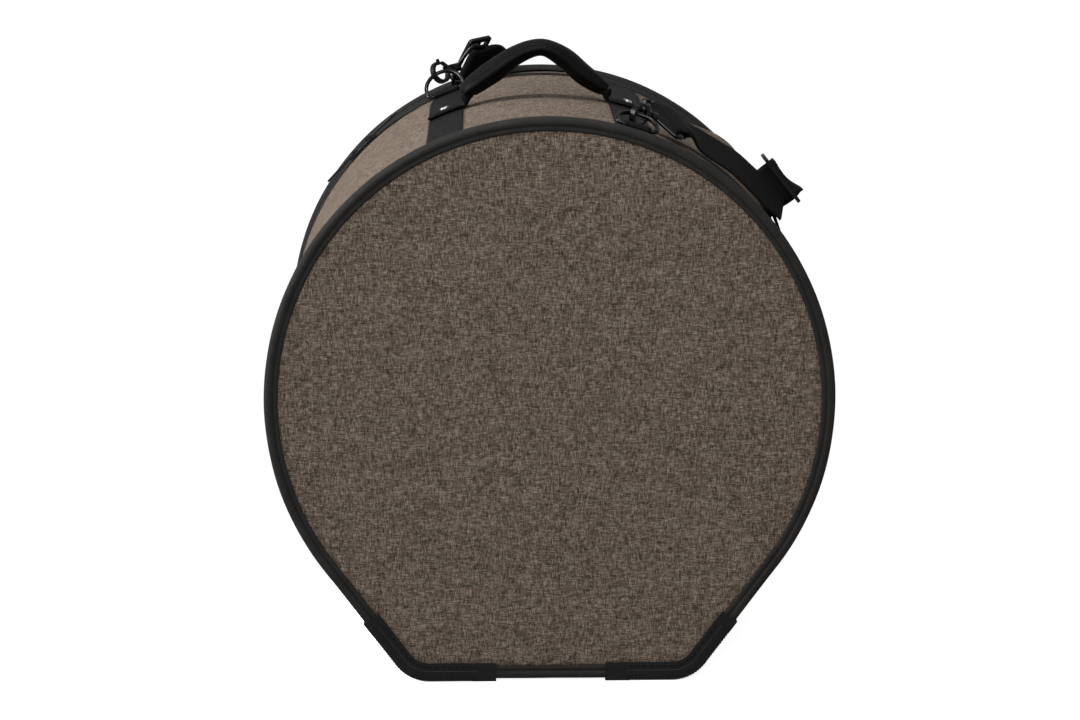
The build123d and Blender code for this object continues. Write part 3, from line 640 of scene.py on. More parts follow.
def smooth_step(value):
    value = np.clip(value, 0, 1)
    return value * value * (3 - 2 * value)


def shoulder(run, depth):
    """The padding's bulge at the right shoulder, where the strap hangs: it stands out beyond the rear rim."""
    around = np.clip(1 - ((top_angle(run) - bulge_angle) / 0.23) ** 2, 0, 1) ** 2
    return bulge_height * around * smooth_step((depth + 0.03) / 0.165) * smooth_step((0.1565 - depth) / 0.0215)


def cloth_swell(seed, stitch, bulge=0):
    """Slow waves in the outer cloth, and a narrow channel at the row of topstitching."""

    def swell(run, depth, radius):
        outer = radius > (cover_radius - 1.5) / 1000
        calm = near_patch(run) * smooth_step((np.abs(depth - 0.167) - 0.016) / 0.015)
        wave = (waves(run, depth * 1.3, seed, 0.16) - 1) * cloth_wave * calm
        wave = wave + (waves(run, depth * 2, seed + 1, 0.045) - 1) * cloth_wave * 0.22 * calm
        wave = wave - 0.0005 * np.exp(-(((depth - stitch / 1000) / 0.0013) ** 2))
        return np.where(outer, wave + bulge * shoulder(run, depth), 0)

    return swell


def padded_profile(start, end):
    """A loop of depth and radius for a padded wall, with a turned hem at the side of the zip."""
    count = max(8, round(abs(end - start) / 4.5))
    outer = [(start + (end - start) * k / count, cover_radius) for k in range(count + 1)]
    way = 1 if end > start else -1
    stitched = [(end + way * f, cover_radius) for f in np.linspace(-7, 0, 12)]
    outer = [p for p in outer if abs(p[0] - end) > 7.5] + stitched
    outer += [(end + way * 0.45, cover_radius - 0.35), (end + way * 0.3, cover_radius - 0.95)]
    under = end - way * hem_turn
    outer += [(end - way * 1, cover_radius - 1.15), (under, cover_radius - 1.15), (under, foam_inside)]
    inner = [(under + (start - under) * k / 12, foam_inside) for k in range(1, 12)]
    return outer + inner + [(start + way * 2.2, foam_inside), (start + way * 0.2, foam_inside + 4)]


drum_profile = padded_profile(wall_front, wall_rear)
drum_wall = ring_piece("drum_wall", drum_profile, cover_finish, cloth_swell(3, hem_stitch, bulge=1))
settle(drum_wall, "bag", "cover_cloth", "body_cover", "body_foam", padding=0.7)
print("drum wall faces:", len(drum_wall.data.polygons))

# %% [markdown]
# The lid's strip behind the zip is the same padded wall, narrower, and it turns its hem towards the drum.

# %% Lid strip
lid_stitch = 176.8
lid_strip = ring_piece("lid_strip", padded_profile(214.8, 173), cover_finish, cloth_swell(11, lid_stitch))
settle(lid_strip, "lid", "cover_cloth", "lid_strip_cover", "lid_strip_foam", padding=0.7)

# %% [markdown]
# In the picture the zone between the zip and the rear rim is black on both shoulders, with lengthwise lines in
# it, and only a slim lens of brown cloth shows at the very top. So two black facings lie on the lid's strip,
# one along the zip and one along the rim. They meet all the way round, and part at the top to leave the lens.

# %% Black facings on the lid's strip
lens_half = 0.22
lens_meet = 193.5
facing_shares = np.array([0.0, 0.04, 0.3, 0.7, 0.96, 1.0, 0.96, 0.7, 0.3, 0.04])
facing_radii = np.array([231.9, 232.3, 232.35, 232.35, 232.3, 231.9, 231.6, 231.6, 231.6, 231.6])


def facing(name, fixed, way, opening, seed):
    """A thin facing from a fixed depth to the line where the two meet, drawn back at the top by an opening."""
    part = np.cos(np.clip(top_angle(rim_run[:-1]) / lens_half, -1, 1) * math.pi / 2) ** 1.2
    meet = lens_meet - way * (0.15 + opening * part) + waves(rim_run[:-1], 0, seed, 0.11) * 0.25
    depth = (fixed + (meet[:, None] - fixed) * facing_shares) / 1000
    lift = np.repeat(facing_radii[None, :] / 1000 - rim, round_count, axis=0)
    lift = lift + (waves(rim_run[:-1, None], depth, seed + 2, 0.06) - 1) * 0.0001 * (facing_radii > 232)
    across = closed(facing_shares) * abs(lens_meet - fixed) / 1000
    settle(tube(name, on_outline(lift, depth), rim_run, across, facing_finish, True), "lid", "binding_tape")


facing("zip_facing", 172.6, 1, 17, 81)
facing("rim_facing", 215.2, -1, 15, 83)

# %% [markdown]
# Each round face is a padded panel sewn in at the rim. Foam under stretched cloth crowns a little towards the
# middle and pulls down into the seam. The face is built of scaled copies of the outline, from the middle to
# the edge and back, so it is one closed cushion.

# %% Round panels
panel_radius = 224.9
panel_middle = 0.222
panel_crown = 1.5


def round_panel(name, face, back, finish, crown, seed):
    """A padded panel with the bag's outline; face and back are depths in mm, crown is how far it bulges."""
    outward = 1 if face > back else -1
    edge = rim_places + (panel_radius / 1000 - rim) * rim_outs
    middle = np.array([0, panel_middle])
    columns, depths = [], []
    for share in np.concatenate((np.linspace(0, 0.9, 26), np.linspace(0.915, 1.0, 12))):
        columns.append(middle + (edge - middle) * share)
        bulge = crown * (1 - share**2) ** 0.6
        ripple = waves(*columns[-1].T, seed, 0.19) * 0.28 * min(1, (1 - share) * 6)
        seam = -0.9 * max(0, (share - 0.965) / 0.035) ** 2
        depths.append(face + outward * (bulge + ripple + seam))
    for share in (1.0, 0.99, 0.9, 0.6, 0.3, 0.0):
        columns.append(middle + (edge - middle) * share)
        depths.append(np.full(round_count, back + outward * (0.8 if share == 1.0 else 0)))
    flat = np.array(columns).transpose(1, 0, 2)
    depth = np.array(depths).T / 1000
    around = closed(flat)
    points = np.stack((flat[:, :, 0], depth, flat[:, :, 1]), axis=2)
    return piece_from_grid(name, points, around[:, :, 0], around[:, :, 1], finish, True)


for name, way, body, seed in (("front_panel", -1, "bag", 21), ("lid_panel", 1, "lid", 22)):
    panel = round_panel(name, way * 222.9, way * 213.8, cover_finish, panel_crown, seed)
    settle(panel, body, "cover_cloth", name + "_cover", name + "_foam", padding=0.7)
print("panel faces:", len(panel.data.polygons))

# %% [markdown]
# The lining is thin dark nylon on the inside of the padding. It shows when the lid is open, and at the zip it
# comes round the edge of the foam to the tape.

# %% Lining
lining_share = (221.0 - 18) / (panel_radius - 18)


def lining_wall(name, start, end, body, node):
    """The lining of a wall, from the panel's side to the zip, where it turns out to the tape."""
    way = 1 if end > start else -1
    edge = end + way * 0.3
    outside = [(start, 222.1), (edge - way * 2, 222.1), (edge, 223.2), (edge + way * 0.2, 229.2)]
    inside = [(edge + way * 0.9, 229.2), (edge + way * 0.8, 222.6), (edge - way * 1.6, 221.35), (start, 221.35)]
    settle(ring_piece(name, outside + inside, lining_finish), body, "lining_cloth", node)


def flat_lining(name, depth, body, node):
    """The lining of a round panel, a thin flat sheet a little smaller than the panel."""
    lining = round_panel(name, depth - 0.4, depth + 0.4, lining_finish, 0.0, 5)
    for vertex in lining.data.vertices:
        vertex.co.x *= lining_share
        vertex.co.z = panel_middle + (vertex.co.z - panel_middle) * lining_share
    settle(lining, body, "lining_cloth", node)


lining_wall("drum_lining", -212.6, 150.6, "bag", "body_lining")
lining_wall("lid_strip_lining_cloth", 212.6, 183.4, "lid", "lid_strip_lining")
flat_lining("front_lining", -213.2, "bag", "front_panel_lining")
flat_lining("lid_lining", 213.2, "lid", "lid_panel_lining")

# %% [markdown]
# A bound rim hides each seam: tape folded over a firm core. From the face it shows a rounded outer bead, a
# sewn channel at the inner third, and a flat flange that presses on the panel. Its cross-section is drawn
# once and swept round the outline; the rear rim is the same loop turned about.

# %% Bound rims
rim_profile = [
    (-222.5, 224.5), (-223.4, 224.3), (-224.0, 224.6), (-224.25, 225.4), (-224.3, 226.4), (-224.2, 227.3),
    (-223.75, 228.0), (-223.65, 228.35), (-223.8, 228.7), (-224.5, 229.3), (-224.85, 230.2), (-225.0, 231.4),
    (-224.85, 232.7), (-224.3, 233.9), (-223.4, 234.9), (-222.2, 235.6), (-220.8, 235.95), (-219.3, 236.0),
    (-218.0, 235.95), (-216.9, 235.6), (-216.1, 235.0), (-215.5, 234.1), (-215.1, 233.0), (-214.9, 231.9),
    (-214.9, 231.2), (-217.0, 230.4), (-219.5, 229.0), (-221.3, 226.5), (-221.9, 225.0),
]


def rim_swell(seed):
    """The slight unevenness of a hand-guided binding."""

    def swell(run, depth, radius):
        outer = np.clip((radius * 1000 - 229) / 6, 0, 1)
        return outer * (waves(run, depth, seed, 0.09) * 0.00016 - 0.00012)

    return swell


for name, way, body, seed in (("front_rim", 1, "bag", 31), ("rear_rim", -1, "lid", 32)):
    rim_ring = ring_piece(name, [(way * y, r) for y, r in rim_profile], binding_finish, rim_swell(seed))
    settle(rim_ring, body, "binding_tape", name + "_binding")
print("rim faces:", len(rim_ring.data.polygons))

# %% [markdown]
# Stitches and zip teeth repeat hundreds of times along a path, so Geometry Nodes place them. Python only
# marks where each one sits and which way it faces, as points with two directions. The tree turns a small
# shape to those directions, varies its length a little, and gives back real mesh.

# %% A builder for node trees


class Tree(Nodes):
    """A Geometry Nodes tree with named inputs, which lays copies of a shape on marked points."""

    def __init__(self, name, **inputs):
        super().__init__(bpy.data.node_groups.new(name, "GeometryNodeTree"))
        self.ids = {}
        for label, kind in {"Geometry": "Geometry", **inputs}.items():
            socket = self.tree.interface.new_socket(label, in_out="INPUT", socket_type="NodeSocket" + kind)
            self.ids[label] = socket.identifier
        self.tree.interface.new_socket("Geometry", in_out="OUTPUT", socket_type="NodeSocketGeometry")
        self.start = self.tree.nodes.new("NodeGroupInput")

    def given(self, label):
        return Wire(self, self.start.outputs[label])

    def lay(self, shape, material, scale=(1, 1, 1)):
        """Lays the shape on each marked point, turned as the point asks, and hands over plain mesh."""
        named = {"data_type": "FLOAT_VECTOR"}
        ways = [self.node("GeometryNodeInputNamedAttribute", named, {"Name": way}) for way in ("along", "outward")]
        turned = self.node(
            "FunctionNodeAxesToRotation", {"primary_axis": "X", "secondary_axis": "Z"}, dict(enumerate(ways))
        )
        sockets = {"Points": self.given("Geometry"), "Instance": shape, "Rotation": turned, "Scale": scale}
        made = self.node("GeometryNodeInstanceOnPoints", None, sockets)
        for kind in ("GeometryNodeRealizeInstances", "GeometryNodeSetShadeSmooth"):
            made = self.node(kind, None, {0: made})
        made = self.node("GeometryNodeSetMaterial", None, {0: made, "Material": self.given(material)})
        self.tree.links.new(made.socket, self.tree.nodes.new("NodeGroupOutput").inputs[0])

    def run(self, name, marks, values):
        """Runs the tree on marks, which are points and two directions for each, and returns the piece it makes."""
        mesh = bpy.data.meshes.new(name + "_marks")
        mesh.from_pydata([tuple(p) for p in marks[0]], [], [])
        for label, directions in zip(("along", "outward"), marks[1:]):
            layer = mesh.attributes.new(label, "FLOAT_VECTOR", "POINT")
            layer.data.foreach_set("vector", np.asarray(directions, np.float32).ravel())
        carrier = placed(name + "_marks", mesh)
        modifier = carrier.modifiers.new("make", "NODES")
        modifier.node_group = self.tree
        for label, value in values.items():
            modifier[self.ids[label]] = value
        bpy.context.view_layer.update()
        ready = carrier.evaluated_get(bpy.context.evaluated_depsgraph_get())
        made = bpy.data.meshes.new_from_object(ready)
        carrier.modifiers.remove(modifier)
        bpy.data.objects.remove(carrier)
        made.name = name
        return placed(name, made)


# %% Stitch tree
stitch_tree = Tree(
    "lay_stitches", Length="Float", Width="Float", Height="Float", Unevenness="Float", Seed="Int", Thread="Material"
)
ball = stitch_tree.node("GeometryNodeMeshUVSphere", None, {"Segments": 8, "Rings": 5, "Radius": 0.5})
stitch_size = stitch_tree.joined(*(stitch_tree.given(label) for label in ("Length", "Width", "Height")))
stitch = stitch_tree.node("GeometryNodeTransform", None, {"Geometry": ball, "Scale": stitch_size})
uneven = stitch_tree.given("Unevenness")
limits = {2: 1.0 - uneven, 3: uneven + 1.0, "Seed": stitch_tree.given("Seed")}
stretch = stitch_tree.node("FunctionNodeRandomValue", {"data_type": "FLOAT"}, limits, 1)
stitch_tree.lay(stitch, "Thread", stitch_tree.joined(stretch, 1.0, 1.0))


def stitches(name, marks, body, size, seed=1, slot="binding_tape", finish=thread_finish):
    """A row of stitches at marked points; size is a stitch's length, width and height in mm."""
    values = {label: mm / 1000 for label, mm in zip(("Length", "Width", "Height"), size)}
    values |= {"Unevenness": 0.12, "Seed": seed, "Thread": finish}
    settle(stitch_tree.run(name, marks, values), body, slot)


def marks_round(radius, depth, pitch, outward_depth=0.0, first=0.0, last=1.0):
    """Marks at a pitch round the outline, all lengths in mm; outward_depth turns them to face along the depth."""
    total = rim_run[-1]
    runs = np.arange(first * total, last * total, pitch / 1000)
    x, z, ox, oz = (np.interp(runs, rim_run, closed(rows[:, k])) for rows in (rim_places, rim_outs) for k in (0, 1))
    lift = radius / 1000 - rim
    points = np.stack((x + lift * ox, np.full_like(x, depth / 1000), z + lift * oz), axis=1)
    along = np.stack((-oz, np.zeros_like(x), ox), axis=1)
    side = math.sqrt(1 - outward_depth**2)
    outward = np.stack((ox * side, np.full_like(x, outward_depth), oz * side), axis=1)
    return points, along, outward


# %% [markdown]
# The rims are sewn through in the channel, and the hems beside the zip are topstitched.

# %% Stitching of rims and hems
channel, side, hem = (3.3, 0.75, 0.6), (3.2, 0.7, 0.6), (2.7, 0.55, 0.5)
sewn_rows = {
    "front_rim": (marks_round(228.3, -223.95, 4.4, -1.0), "bag", channel),
    "rear_rim": (marks_round(228.3, 223.95, 4.4, 1.0), "lid", channel),
    "drum_hem": (marks_round(231.15, hem_stitch, 3.6), "bag", hem, 4),
    "lid_hem": (marks_round(231.15, lid_stitch, 3.6), "lid", hem, 5),
    "front_rim_side": (marks_round(235.2, -216.6, 4.4), "bag", side, 6),
    "rear_rim_side": (marks_round(235.2, 216.6, 4.4), "lid", side, 7),
}
for name, row in sewn_rows.items():
    stitches(name + "_stitching", *row)

# %% [markdown]
# Each rubber guard is sewn on through its flange with long stitches that sink into the rubber; their near-black,
# matt finish is part thread and part painted shade in the stitch holes. Outside the flange runs a fine raised
# bead, in a finish lighter than the rubber that is a painted highlight along it, and outside that the face is
# ribbed for grip. All three follow the same outline, so each is a row of marks, and only the part over the
# guards is kept.

# %% Stitching, bead and ribs of the corner guards
guard_face = 226.05
guard_rows = {
    # the stitching's near-black finish is painted shade in its holes
    "stitching": (224.6, 5.6, (3.4, 1.1, 1.0), 8, sunk_thread_painted_shade_finish),
    # the bead's lighter finish is a painted highlight
    "bead": (228.2, 2.0, (3.6, 0.9, 1.3), 9, bead_painted_highlight_finish),
    "ribs": (233.2, 2.6, (6.2, 1.3, 1.6), 10, rubber_finish),
}


def guard_marks(way, radius, pitch, radial):
    """Marks along the faces of the two guards at one end; way is -1 for the front and 1 for the rear."""
    points, along, outward = marks_round(radius, way * guard_face, pitch, float(way))
    if radial:
        along = np.cross(outward, along)
    over = (np.abs(points[:, 0]) > 0.062) & (points[:, 2] < 0.047)
    return points[over], along[over], outward[over]


for end, way, body in (("front", -1, "bag"), ("rear", 1, "lid")):
    for kind, (radius, pitch, size, seed, finish) in guard_rows.items():
        marks = guard_marks(way, radius, pitch, kind == "ribs")
        stitches(f"guard_{kind}_{end}", marks, body, size, seed, finish=finish)

# %% [markdown]
# The zip is a nylon coil sewn to two woven tapes. It stops above the base on both sides, where the cloth
# hinge takes over. A tape is a thin strip of the outline's walk; the coil's turns are placed by a tree.

# %% Zip tapes
zip_stop = 0.016
tape_radius = 0.230
tape_top, tape_edge, tape_back, tape_under = 230.3, 230.2, 229.6, 229.5
above_stop = np.where(rim_places[:, 1] + (tape_radius - rim) * rim_outs[:, 1] > zip_stop)[0]


def zip_tape(name, near, far, body, node):
    """One tape, from its edge near the middle of the zip to its far edge under the hem."""
    way = 4 if far > near else -4
    top = [(near, tape_top), (near + way, tape_top), (far - way, tape_top), (far, tape_edge)]
    under = [(far, tape_back), (far - way, tape_under), (near + way, tape_under), (near, tape_under)]
    loop = np.array(top + under) / 1000
    points = on_outline(loop[:, 1] - rim, loop[:, 0], above_stop)
    tape = tube(name, *capped(points, rim_run[above_stop]), run_lengths(closed(loop)), zip_tape_finish)
    settle(tape, body, "zip_tape", node)


zip_tape("drum_zip_tape", 165.4, 151.2, "bag", "zip_tape_body")
zip_tape("lid_zip_tape", 168.6, 182.8, "lid", "zip_tape_lid")

# %% Coil tree
coil_tree = Tree("wind_coil", Reach="Float", Wire="Float", Head="Float", Nylon="Material")
reach, wire, head = (coil_tree.given(label) for label in ("Reach", "Wire", "Head"))
turn = coil_tree.node("GeometryNodeMeshCylinder", None, {"Vertices": 6, "Radius": wire, "Depth": reach})
laid = coil_tree.node("GeometryNodeTransform", None, {"Geometry": turn, "Rotation": (math.pi / 2, 0, 0)})
knob = coil_tree.node("GeometryNodeMeshUVSphere", None, {"Segments": 7, "Rings": 4, "Radius": head})
tip = coil_tree.joined(0.0, reach * 0.5, 0.0)
moved = coil_tree.node("GeometryNodeTransform", None, {"Geometry": knob, "Translation": tip})
coil_tree.lay(coil_tree.node("GeometryNodeJoinGeometry", None, {0: [laid, moved]}), "Nylon")


def coil(name, depth, shift, way, body, node):
    """One side's row of teeth, their middles at a depth in mm; way turns them to the middle of the zip."""
    first, last = (rim_run[above_stop[k]] / rim_run[-1] for k in (0, -1))
    first = first + shift / 1000 / rim_run[-1]
    points, along, outward = marks_round(231.4, depth, 2.6, first=first, last=last)
    values = {"Reach": 0.0036, "Wire": 0.00052, "Head": 0.00078, "Nylon": teeth_finish}
    settle(coil_tree.run(name, (points, way * along, outward), values), body, "zip_teeth", node)


coil("drum_coil", 165.3, 0, -1, "bag", "zip_teeth_body")
coil("lid_coil", 168.7, 1.3, 1, "lid", "zip_teeth_lid")

# %% [markdown]
# The lid swings on a strip of the cover cloth across the base. It joins two bodies, and here it is a fine grid
# fixed in place on neither of them.

# %% Cloth hinge
hinge_depths = np.linspace(0.1600, 0.1740, 15)
hinge_across = np.linspace(-0.09, 0.09, 37)
hinge_top, hinge_low = 0.0066, 0.0056


def cloth_hinge():
    """A thin closed strip across the base, from the drum's edge to the lid's."""
    top, low = (np.array([[(x, y, z) for x in hinge_across] for y in hinge_depths]) for z in (hinge_top, hinge_low))
    edge = np.linspace(0, 1, len(hinge_across))
    bow = np.sin(np.linspace(0, math.pi, len(hinge_depths)))[:, None] * 0.0005 * (1 + 0.4 * np.cos(edge * 17))
    top[:, :, 2] += bow
    low[:, :, 2] += bow
    across = np.concatenate((hinge_across, hinge_across[::-1] + 0.002, hinge_across[:1]))
    rows = capped(np.concatenate((top, low[:, ::-1]), axis=1), hinge_depths)
    strip = tube("cloth_hinge", *rows, across, binding_finish)
    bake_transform(strip)
    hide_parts("lid_hinge_cloth")


cloth_hinge()

# %% [markdown]
# Two long patches of grained imitation leather carry the pull of handle and strap into the drum. Each is a
# strip bent over the drum, its edges turned under and sewn down. A tab of the same leather lies on it and
# holds the handle's tongue under a rivet.

# %% Leather patches
patch_half = 16
tab_start, tab_end = -29, 100
patch_sewn, tab_sewn = 232.95, 235.85


def drum_point(angle, radius, depth):
    """A place on the drum: angle clockwise from the top in radians, radius and depth in metres."""
    across, up = radius * np.sin(angle), middle_z + radius * np.cos(angle)
    return np.stack(np.broadcast_arrays(across, depth, up), axis=-1)


def bent_strip(name, angle, half_width, start, end, low, high, lip=0.0, seed=1):
    """A leather strip bent over the drum between two depths and two radii, in mm; lip lifts its start."""
    rows = np.linspace(0, 1, max(6, round(abs(end - start) / 2.5)) + 1)
    rows = np.concatenate((rows[:1], rows[:1], rows[1:-1], rows[-1:], rows[-1:]))
    ends = np.ones((len(rows), 1))
    ends[0] = ends[-1] = 0.0
    thick = high - low
    round_edge = 0.5 * thick / half_width
    loop_w, loop_h = [], []
    for share in np.linspace(-1, 1, 23):
        dome = 1 - max(0, abs(share) - (1 - 3 * round_edge)) / (3 * round_edge) * 0.35
        roll = 0.22 * math.exp(-(((abs(share) - (1 - 2.4 / half_width)) / (0.9 / half_width)) ** 2))
        loop_w.append(share)
        loop_h.append(dome - roll)
    loop_w = np.array(loop_w + [1.0, 0.98, 0.5, 0.0, -0.5, -0.98, -1.0])
    loop_h = np.array(loop_h + [0.35, 0.0, 0.0, 0.0, 0.0, 0.0, 0.35])
    depth = (start + (end - start) * rows[:, None]) + 0 * loop_w
    wave = waves(depth, loop_w[None, :] * half_width, seed, 38.0) * 0.14
    height = low + thick * loop_h * (0.4 + 0.6 * ends) + np.where(loop_h > 0.3, wave, 0)
    height = height + lip * np.clip(1 - np.abs(depth - start) / 7, 0, 1) ** 2
    width = half_width * loop_w * (0.985 + 0.015 * ends)
    points = drum_point(angle + width / cover_radius, height / 1000, depth / 1000)
    for end_row in (0, -1):
        points[end_row] = points[end_row].mean(axis=0)
    across = closed(loop_w) * half_width / 1000 + closed(loop_h) * 0.001
    return tube(name, points, (start + (end - start) * rows) / 1000, across, patch_finish)


def marks_along(angle, offset, start, end, radius, pitch):
    """Marks along the drum's depth, beside the middle of a strip; all lengths in mm."""
    depths = np.arange(start, end, pitch)
    turn = angle + offset / cover_radius
    ways = ((0.0, 1.0, 0.0), (math.sin(turn), 0.0, math.cos(turn)))
    return drum_point(turn, radius / 1000, depths / 1000), *(np.tile(way, (len(depths), 1)) for way in ways)


def marks_across(angle, half_width, depth, radius, pitch):
    """Marks across a strip on the drum."""
    turns = angle + np.arange(-half_width, half_width + pitch / 2, pitch) / cover_radius
    along = np.stack((np.cos(turns), 0 * turns, -np.sin(turns)), axis=1)
    outward = np.stack((np.sin(turns), 0 * turns, np.cos(turns)), axis=1)
    return drum_point(turns, radius / 1000, depth / 1000), along, outward


def together(*sets):
    return tuple(np.concatenate([s[k] for s in sets]) for k in range(3))


for side, angle in zip(("left", "right"), patch_angles):
    patch = bent_strip("patch_of_" + side, angle, patch_half, -214.6, 149, 231.6, 233.1, seed=41)
    settle(patch, "bag", "patch_leather", "patch_" + side)
    tab = bent_strip("tab_of_" + side, angle, patch_half - 0.2, tab_start, tab_end, 233.15, 236.0, 1.5, 43)
    settle(tab, "bag", "patch_leather", "handle_tab_" + side)
    edges = [marks_along(angle, way * 13.6, -212, 147.5, patch_sewn, 3.4) for way in (-1, 1)]
    edges.append(marks_across(angle, 12, 146.5, patch_sewn, 3.4))
    edges += [marks_along(angle, way * 13.4, tab_start + 3, tab_end - 2, tab_sewn, 3.4) for way in (-1, 1)]
    edges += [marks_across(angle, 11.5, depth, tab_sewn + 0.15, 3.3) for depth in (tab_start + 3, tab_end - 2.5)]
    stitches("patch_stitching_" + side, together(*edges), "bag", (2.5, 0.6, 0.5), 51, "patch_leather")
print("patches made")

# %% [markdown]
# A band of leather or webbing runs through a row of places, each with the direction of the band's width and
# its thickness. A smooth curve through them gives the run, and the band's section is a flat loop with
# rounded edges. One helper makes every band on the bag.

# %% Bands through places


def smooth_row(values, parts):
    """A smooth row through values, with some parts added between each two."""
    values = np.asarray(values, float)
    if values.ndim == 1:
        values = values[:, None]
    slopes = np.empty_like(values)
    slopes[0], slopes[-1] = values[1] - values[0], values[-1] - values[-2]
    slopes[1:-1] = (values[2:] - values[:-2]) / 2
    t = (np.arange(parts) / parts)[:, None]
    rows = []
    for k in range(len(values) - 1):
        start = (2 * t**3 - 3 * t**2 + 1) * values[k] + (t**3 - 2 * t**2 + t) * slopes[k]
        rows.append(start + (-2 * t**3 + 3 * t**2) * values[k + 1] + (t**3 - t**2) * slopes[k + 1])
    return np.vstack(rows + [values[-1:]])


def evened(points, *others, step):
    """The same curve with its points an even step apart, and the other rows carried along."""
    run = run_lengths(points)
    want = np.linspace(0, run[-1], max(4, round(run[-1] / step)) + 1)
    return [np.stack([np.interp(want, run, column) for column in row.T], axis=1) for row in (points, *others)], want


def unit_rows(rows):
    return rows / np.linalg.norm(rows, axis=1, keepdims=True)


def frames(points, across):
    """The along, across and face directions at each point of a band."""
    along = unit_rows(np.gradient(points, axis=0))
    across = unit_rows(across - along * np.sum(across * along, axis=1, keepdims=True))
    return along, across, np.cross(along, across)


def section_loop(width, count=13, edge=0.9):
    """A flat loop with rounded edges, as metres across a band and shares of its thickness."""
    share = np.linspace(-1, 1, count)
    roundness = np.sqrt(np.maximum(0, 1 - np.maximum(0, (np.abs(share) - edge) / (1 - edge)) ** 2))
    top = [(width / 2 * s, 0.5 * r) for s, r in zip(share, roundness)]
    return np.array(top + [(s, -r) for s, r in top[-2:0:-1]])


def band(name, points, across, thicks, width, finish, ripple=0.0, seed=1, step=0.002):
    """A closed band through rows of points; returns the piece."""
    (points, across, thicks), run = evened(points, across, thicks, step=step)
    along, across, face = frames(points, across)
    loop = section_loop(width)
    wave = waves(run[:, None], loop[None, :, 0] * 3, seed, 0.05) * ripple
    grid = (
        points[:, None, :]
        + across[:, None, :] * loop[None, :, 0, None]
        + face[:, None, :] * (loop[None, :, 1, None] * thicks[:, None] + wave[:, :, None])
    )
    return tube(name, *capped(grid, run), closed(loop)[:, 0] + closed(loop)[:, 1] * 0.002, finish)


# %% [markdown]
# The carry handle is a padded grip: leather wrapped round a core and sewn along both long edges, with the
# seam allowances left as a narrow welt. Pulling the leather round the bow gathers it along the inside and
# pulls creases along its length. It is a loft of flattened ovals; the creases and the welt are in the section.

# %% Carry handle
grip_width = 0.034
grip_thick = 0.015
handle_y = -0.014
top_turn = math.radians(-2)
leather_round = 0.011
grip_places = np.array(
    [
        (-61.2, 234.6, 0.64, 0.74),
        (-58.6, 238.9, 0.80, 0.98),
        (-52.0, 243.6, 0.93, 1.20),
        (-34.8, 254.8, 0.98, 1.32),
        (-13.4, 268.2, 1.00, 1.10),
        (7.4, 273.0, 1.00, 0.98),
        (25.7, 263.6, 0.98, 1.18),
        (41.4, 248.8, 0.94, 1.22),
        (53.9, 239.2, 0.78, 1.04),
        (61.6, 234.4, 0.58, 0.74),
    ]
)


def over_top(across, high):
    """A place over the top of the drum, from mm across and mm above the drum's middle."""
    across, high = across / 1000, high / 1000
    x = across * math.cos(top_turn) + high * math.sin(top_turn)
    z = middle_z - across * math.sin(top_turn) + high * math.cos(top_turn)
    return np.stack((x, np.full_like(x, handle_y), z), axis=-1)


def bowed(wave, power):
    """A round wave made fuller, for the section of the grip."""
    return np.sign(wave) * np.abs(wave) ** power


def carry_handle():
    """The grip with its welt, and the stitches along both sides of it."""
    rows = smooth_row(grip_places, 12)
    (points, sizes), run = evened(over_top(rows[:, 0], rows[:, 1]), rows[:, 2:4], step=0.0016)
    along, across, face = frames(points, np.tile((0.0, 1.0, 0.0), (len(points), 1)))
    around = np.linspace(0, 2 * math.pi, 56, endpoint=False)
    flat, deep = bowed(np.cos(around), 0.86), bowed(np.sin(around), 0.8)
    welt = np.exp(-((np.sin(around) / 0.16) ** 2))
    pinch = np.exp(-(((np.abs(np.sin(around)) - 0.42) / 0.16) ** 2)) * (np.abs(np.cos(around)) > 0.3)
    crease = waves(run[:, None] * 0.55, around[None, :] * 0.006, 61, 0.011, 6)
    pull = np.sin(math.pi * run / run[-1])[:, None]
    size = 1 - 0.07 * pinch + crease * 0.022 * (0.4 + 0.6 * pull)
    half_w = grip_width / 2 * sizes[:, :1]
    half_t = grip_thick / 2 * sizes[:, 1:]
    grid = (
        points[:, None, :]
        + across[:, None, :] * (flat * (half_w * (0.93 + 0.07 * welt)) * size)[:, :, None]
        + face[:, None, :] * (deep * half_t * size)[:, :, None]
    )
    ends = []
    for end, way in ((0, -0.0012), (-1, 0.0012)):
        middle = grid[end].mean(axis=0)
        ends.append([middle + (grid[end] - middle) * k + along[end] * way * (1 - k) for k in (0, 0.6, 0.9)])
    grid = np.concatenate((ends[0], grid, ends[1][::-1]))
    turns = np.append(around, 2 * math.pi) * leather_round
    handle = tube("carry_handle", grid, np.pad(run, 3, mode="edge"), turns, handle_finish)
    settle(handle, "handle", "handle_leather", "handle_cover", padding=0.8)
    k = np.arange(8, len(points) - 8, 2)
    marks = []
    for way in (-1, 1):
        place = points[k] + across[k] * way * half_w[k] * 0.8 + face[k] * (half_t[k] * 0.52)
        marks.append((place, along[k], unit_rows(face[k] + across[k] * way * 0.9)))
    stitches("handle_stitching", together(*marks), "handle", (2.4, 0.55, 0.5), 62, "handle_leather")


carry_handle()
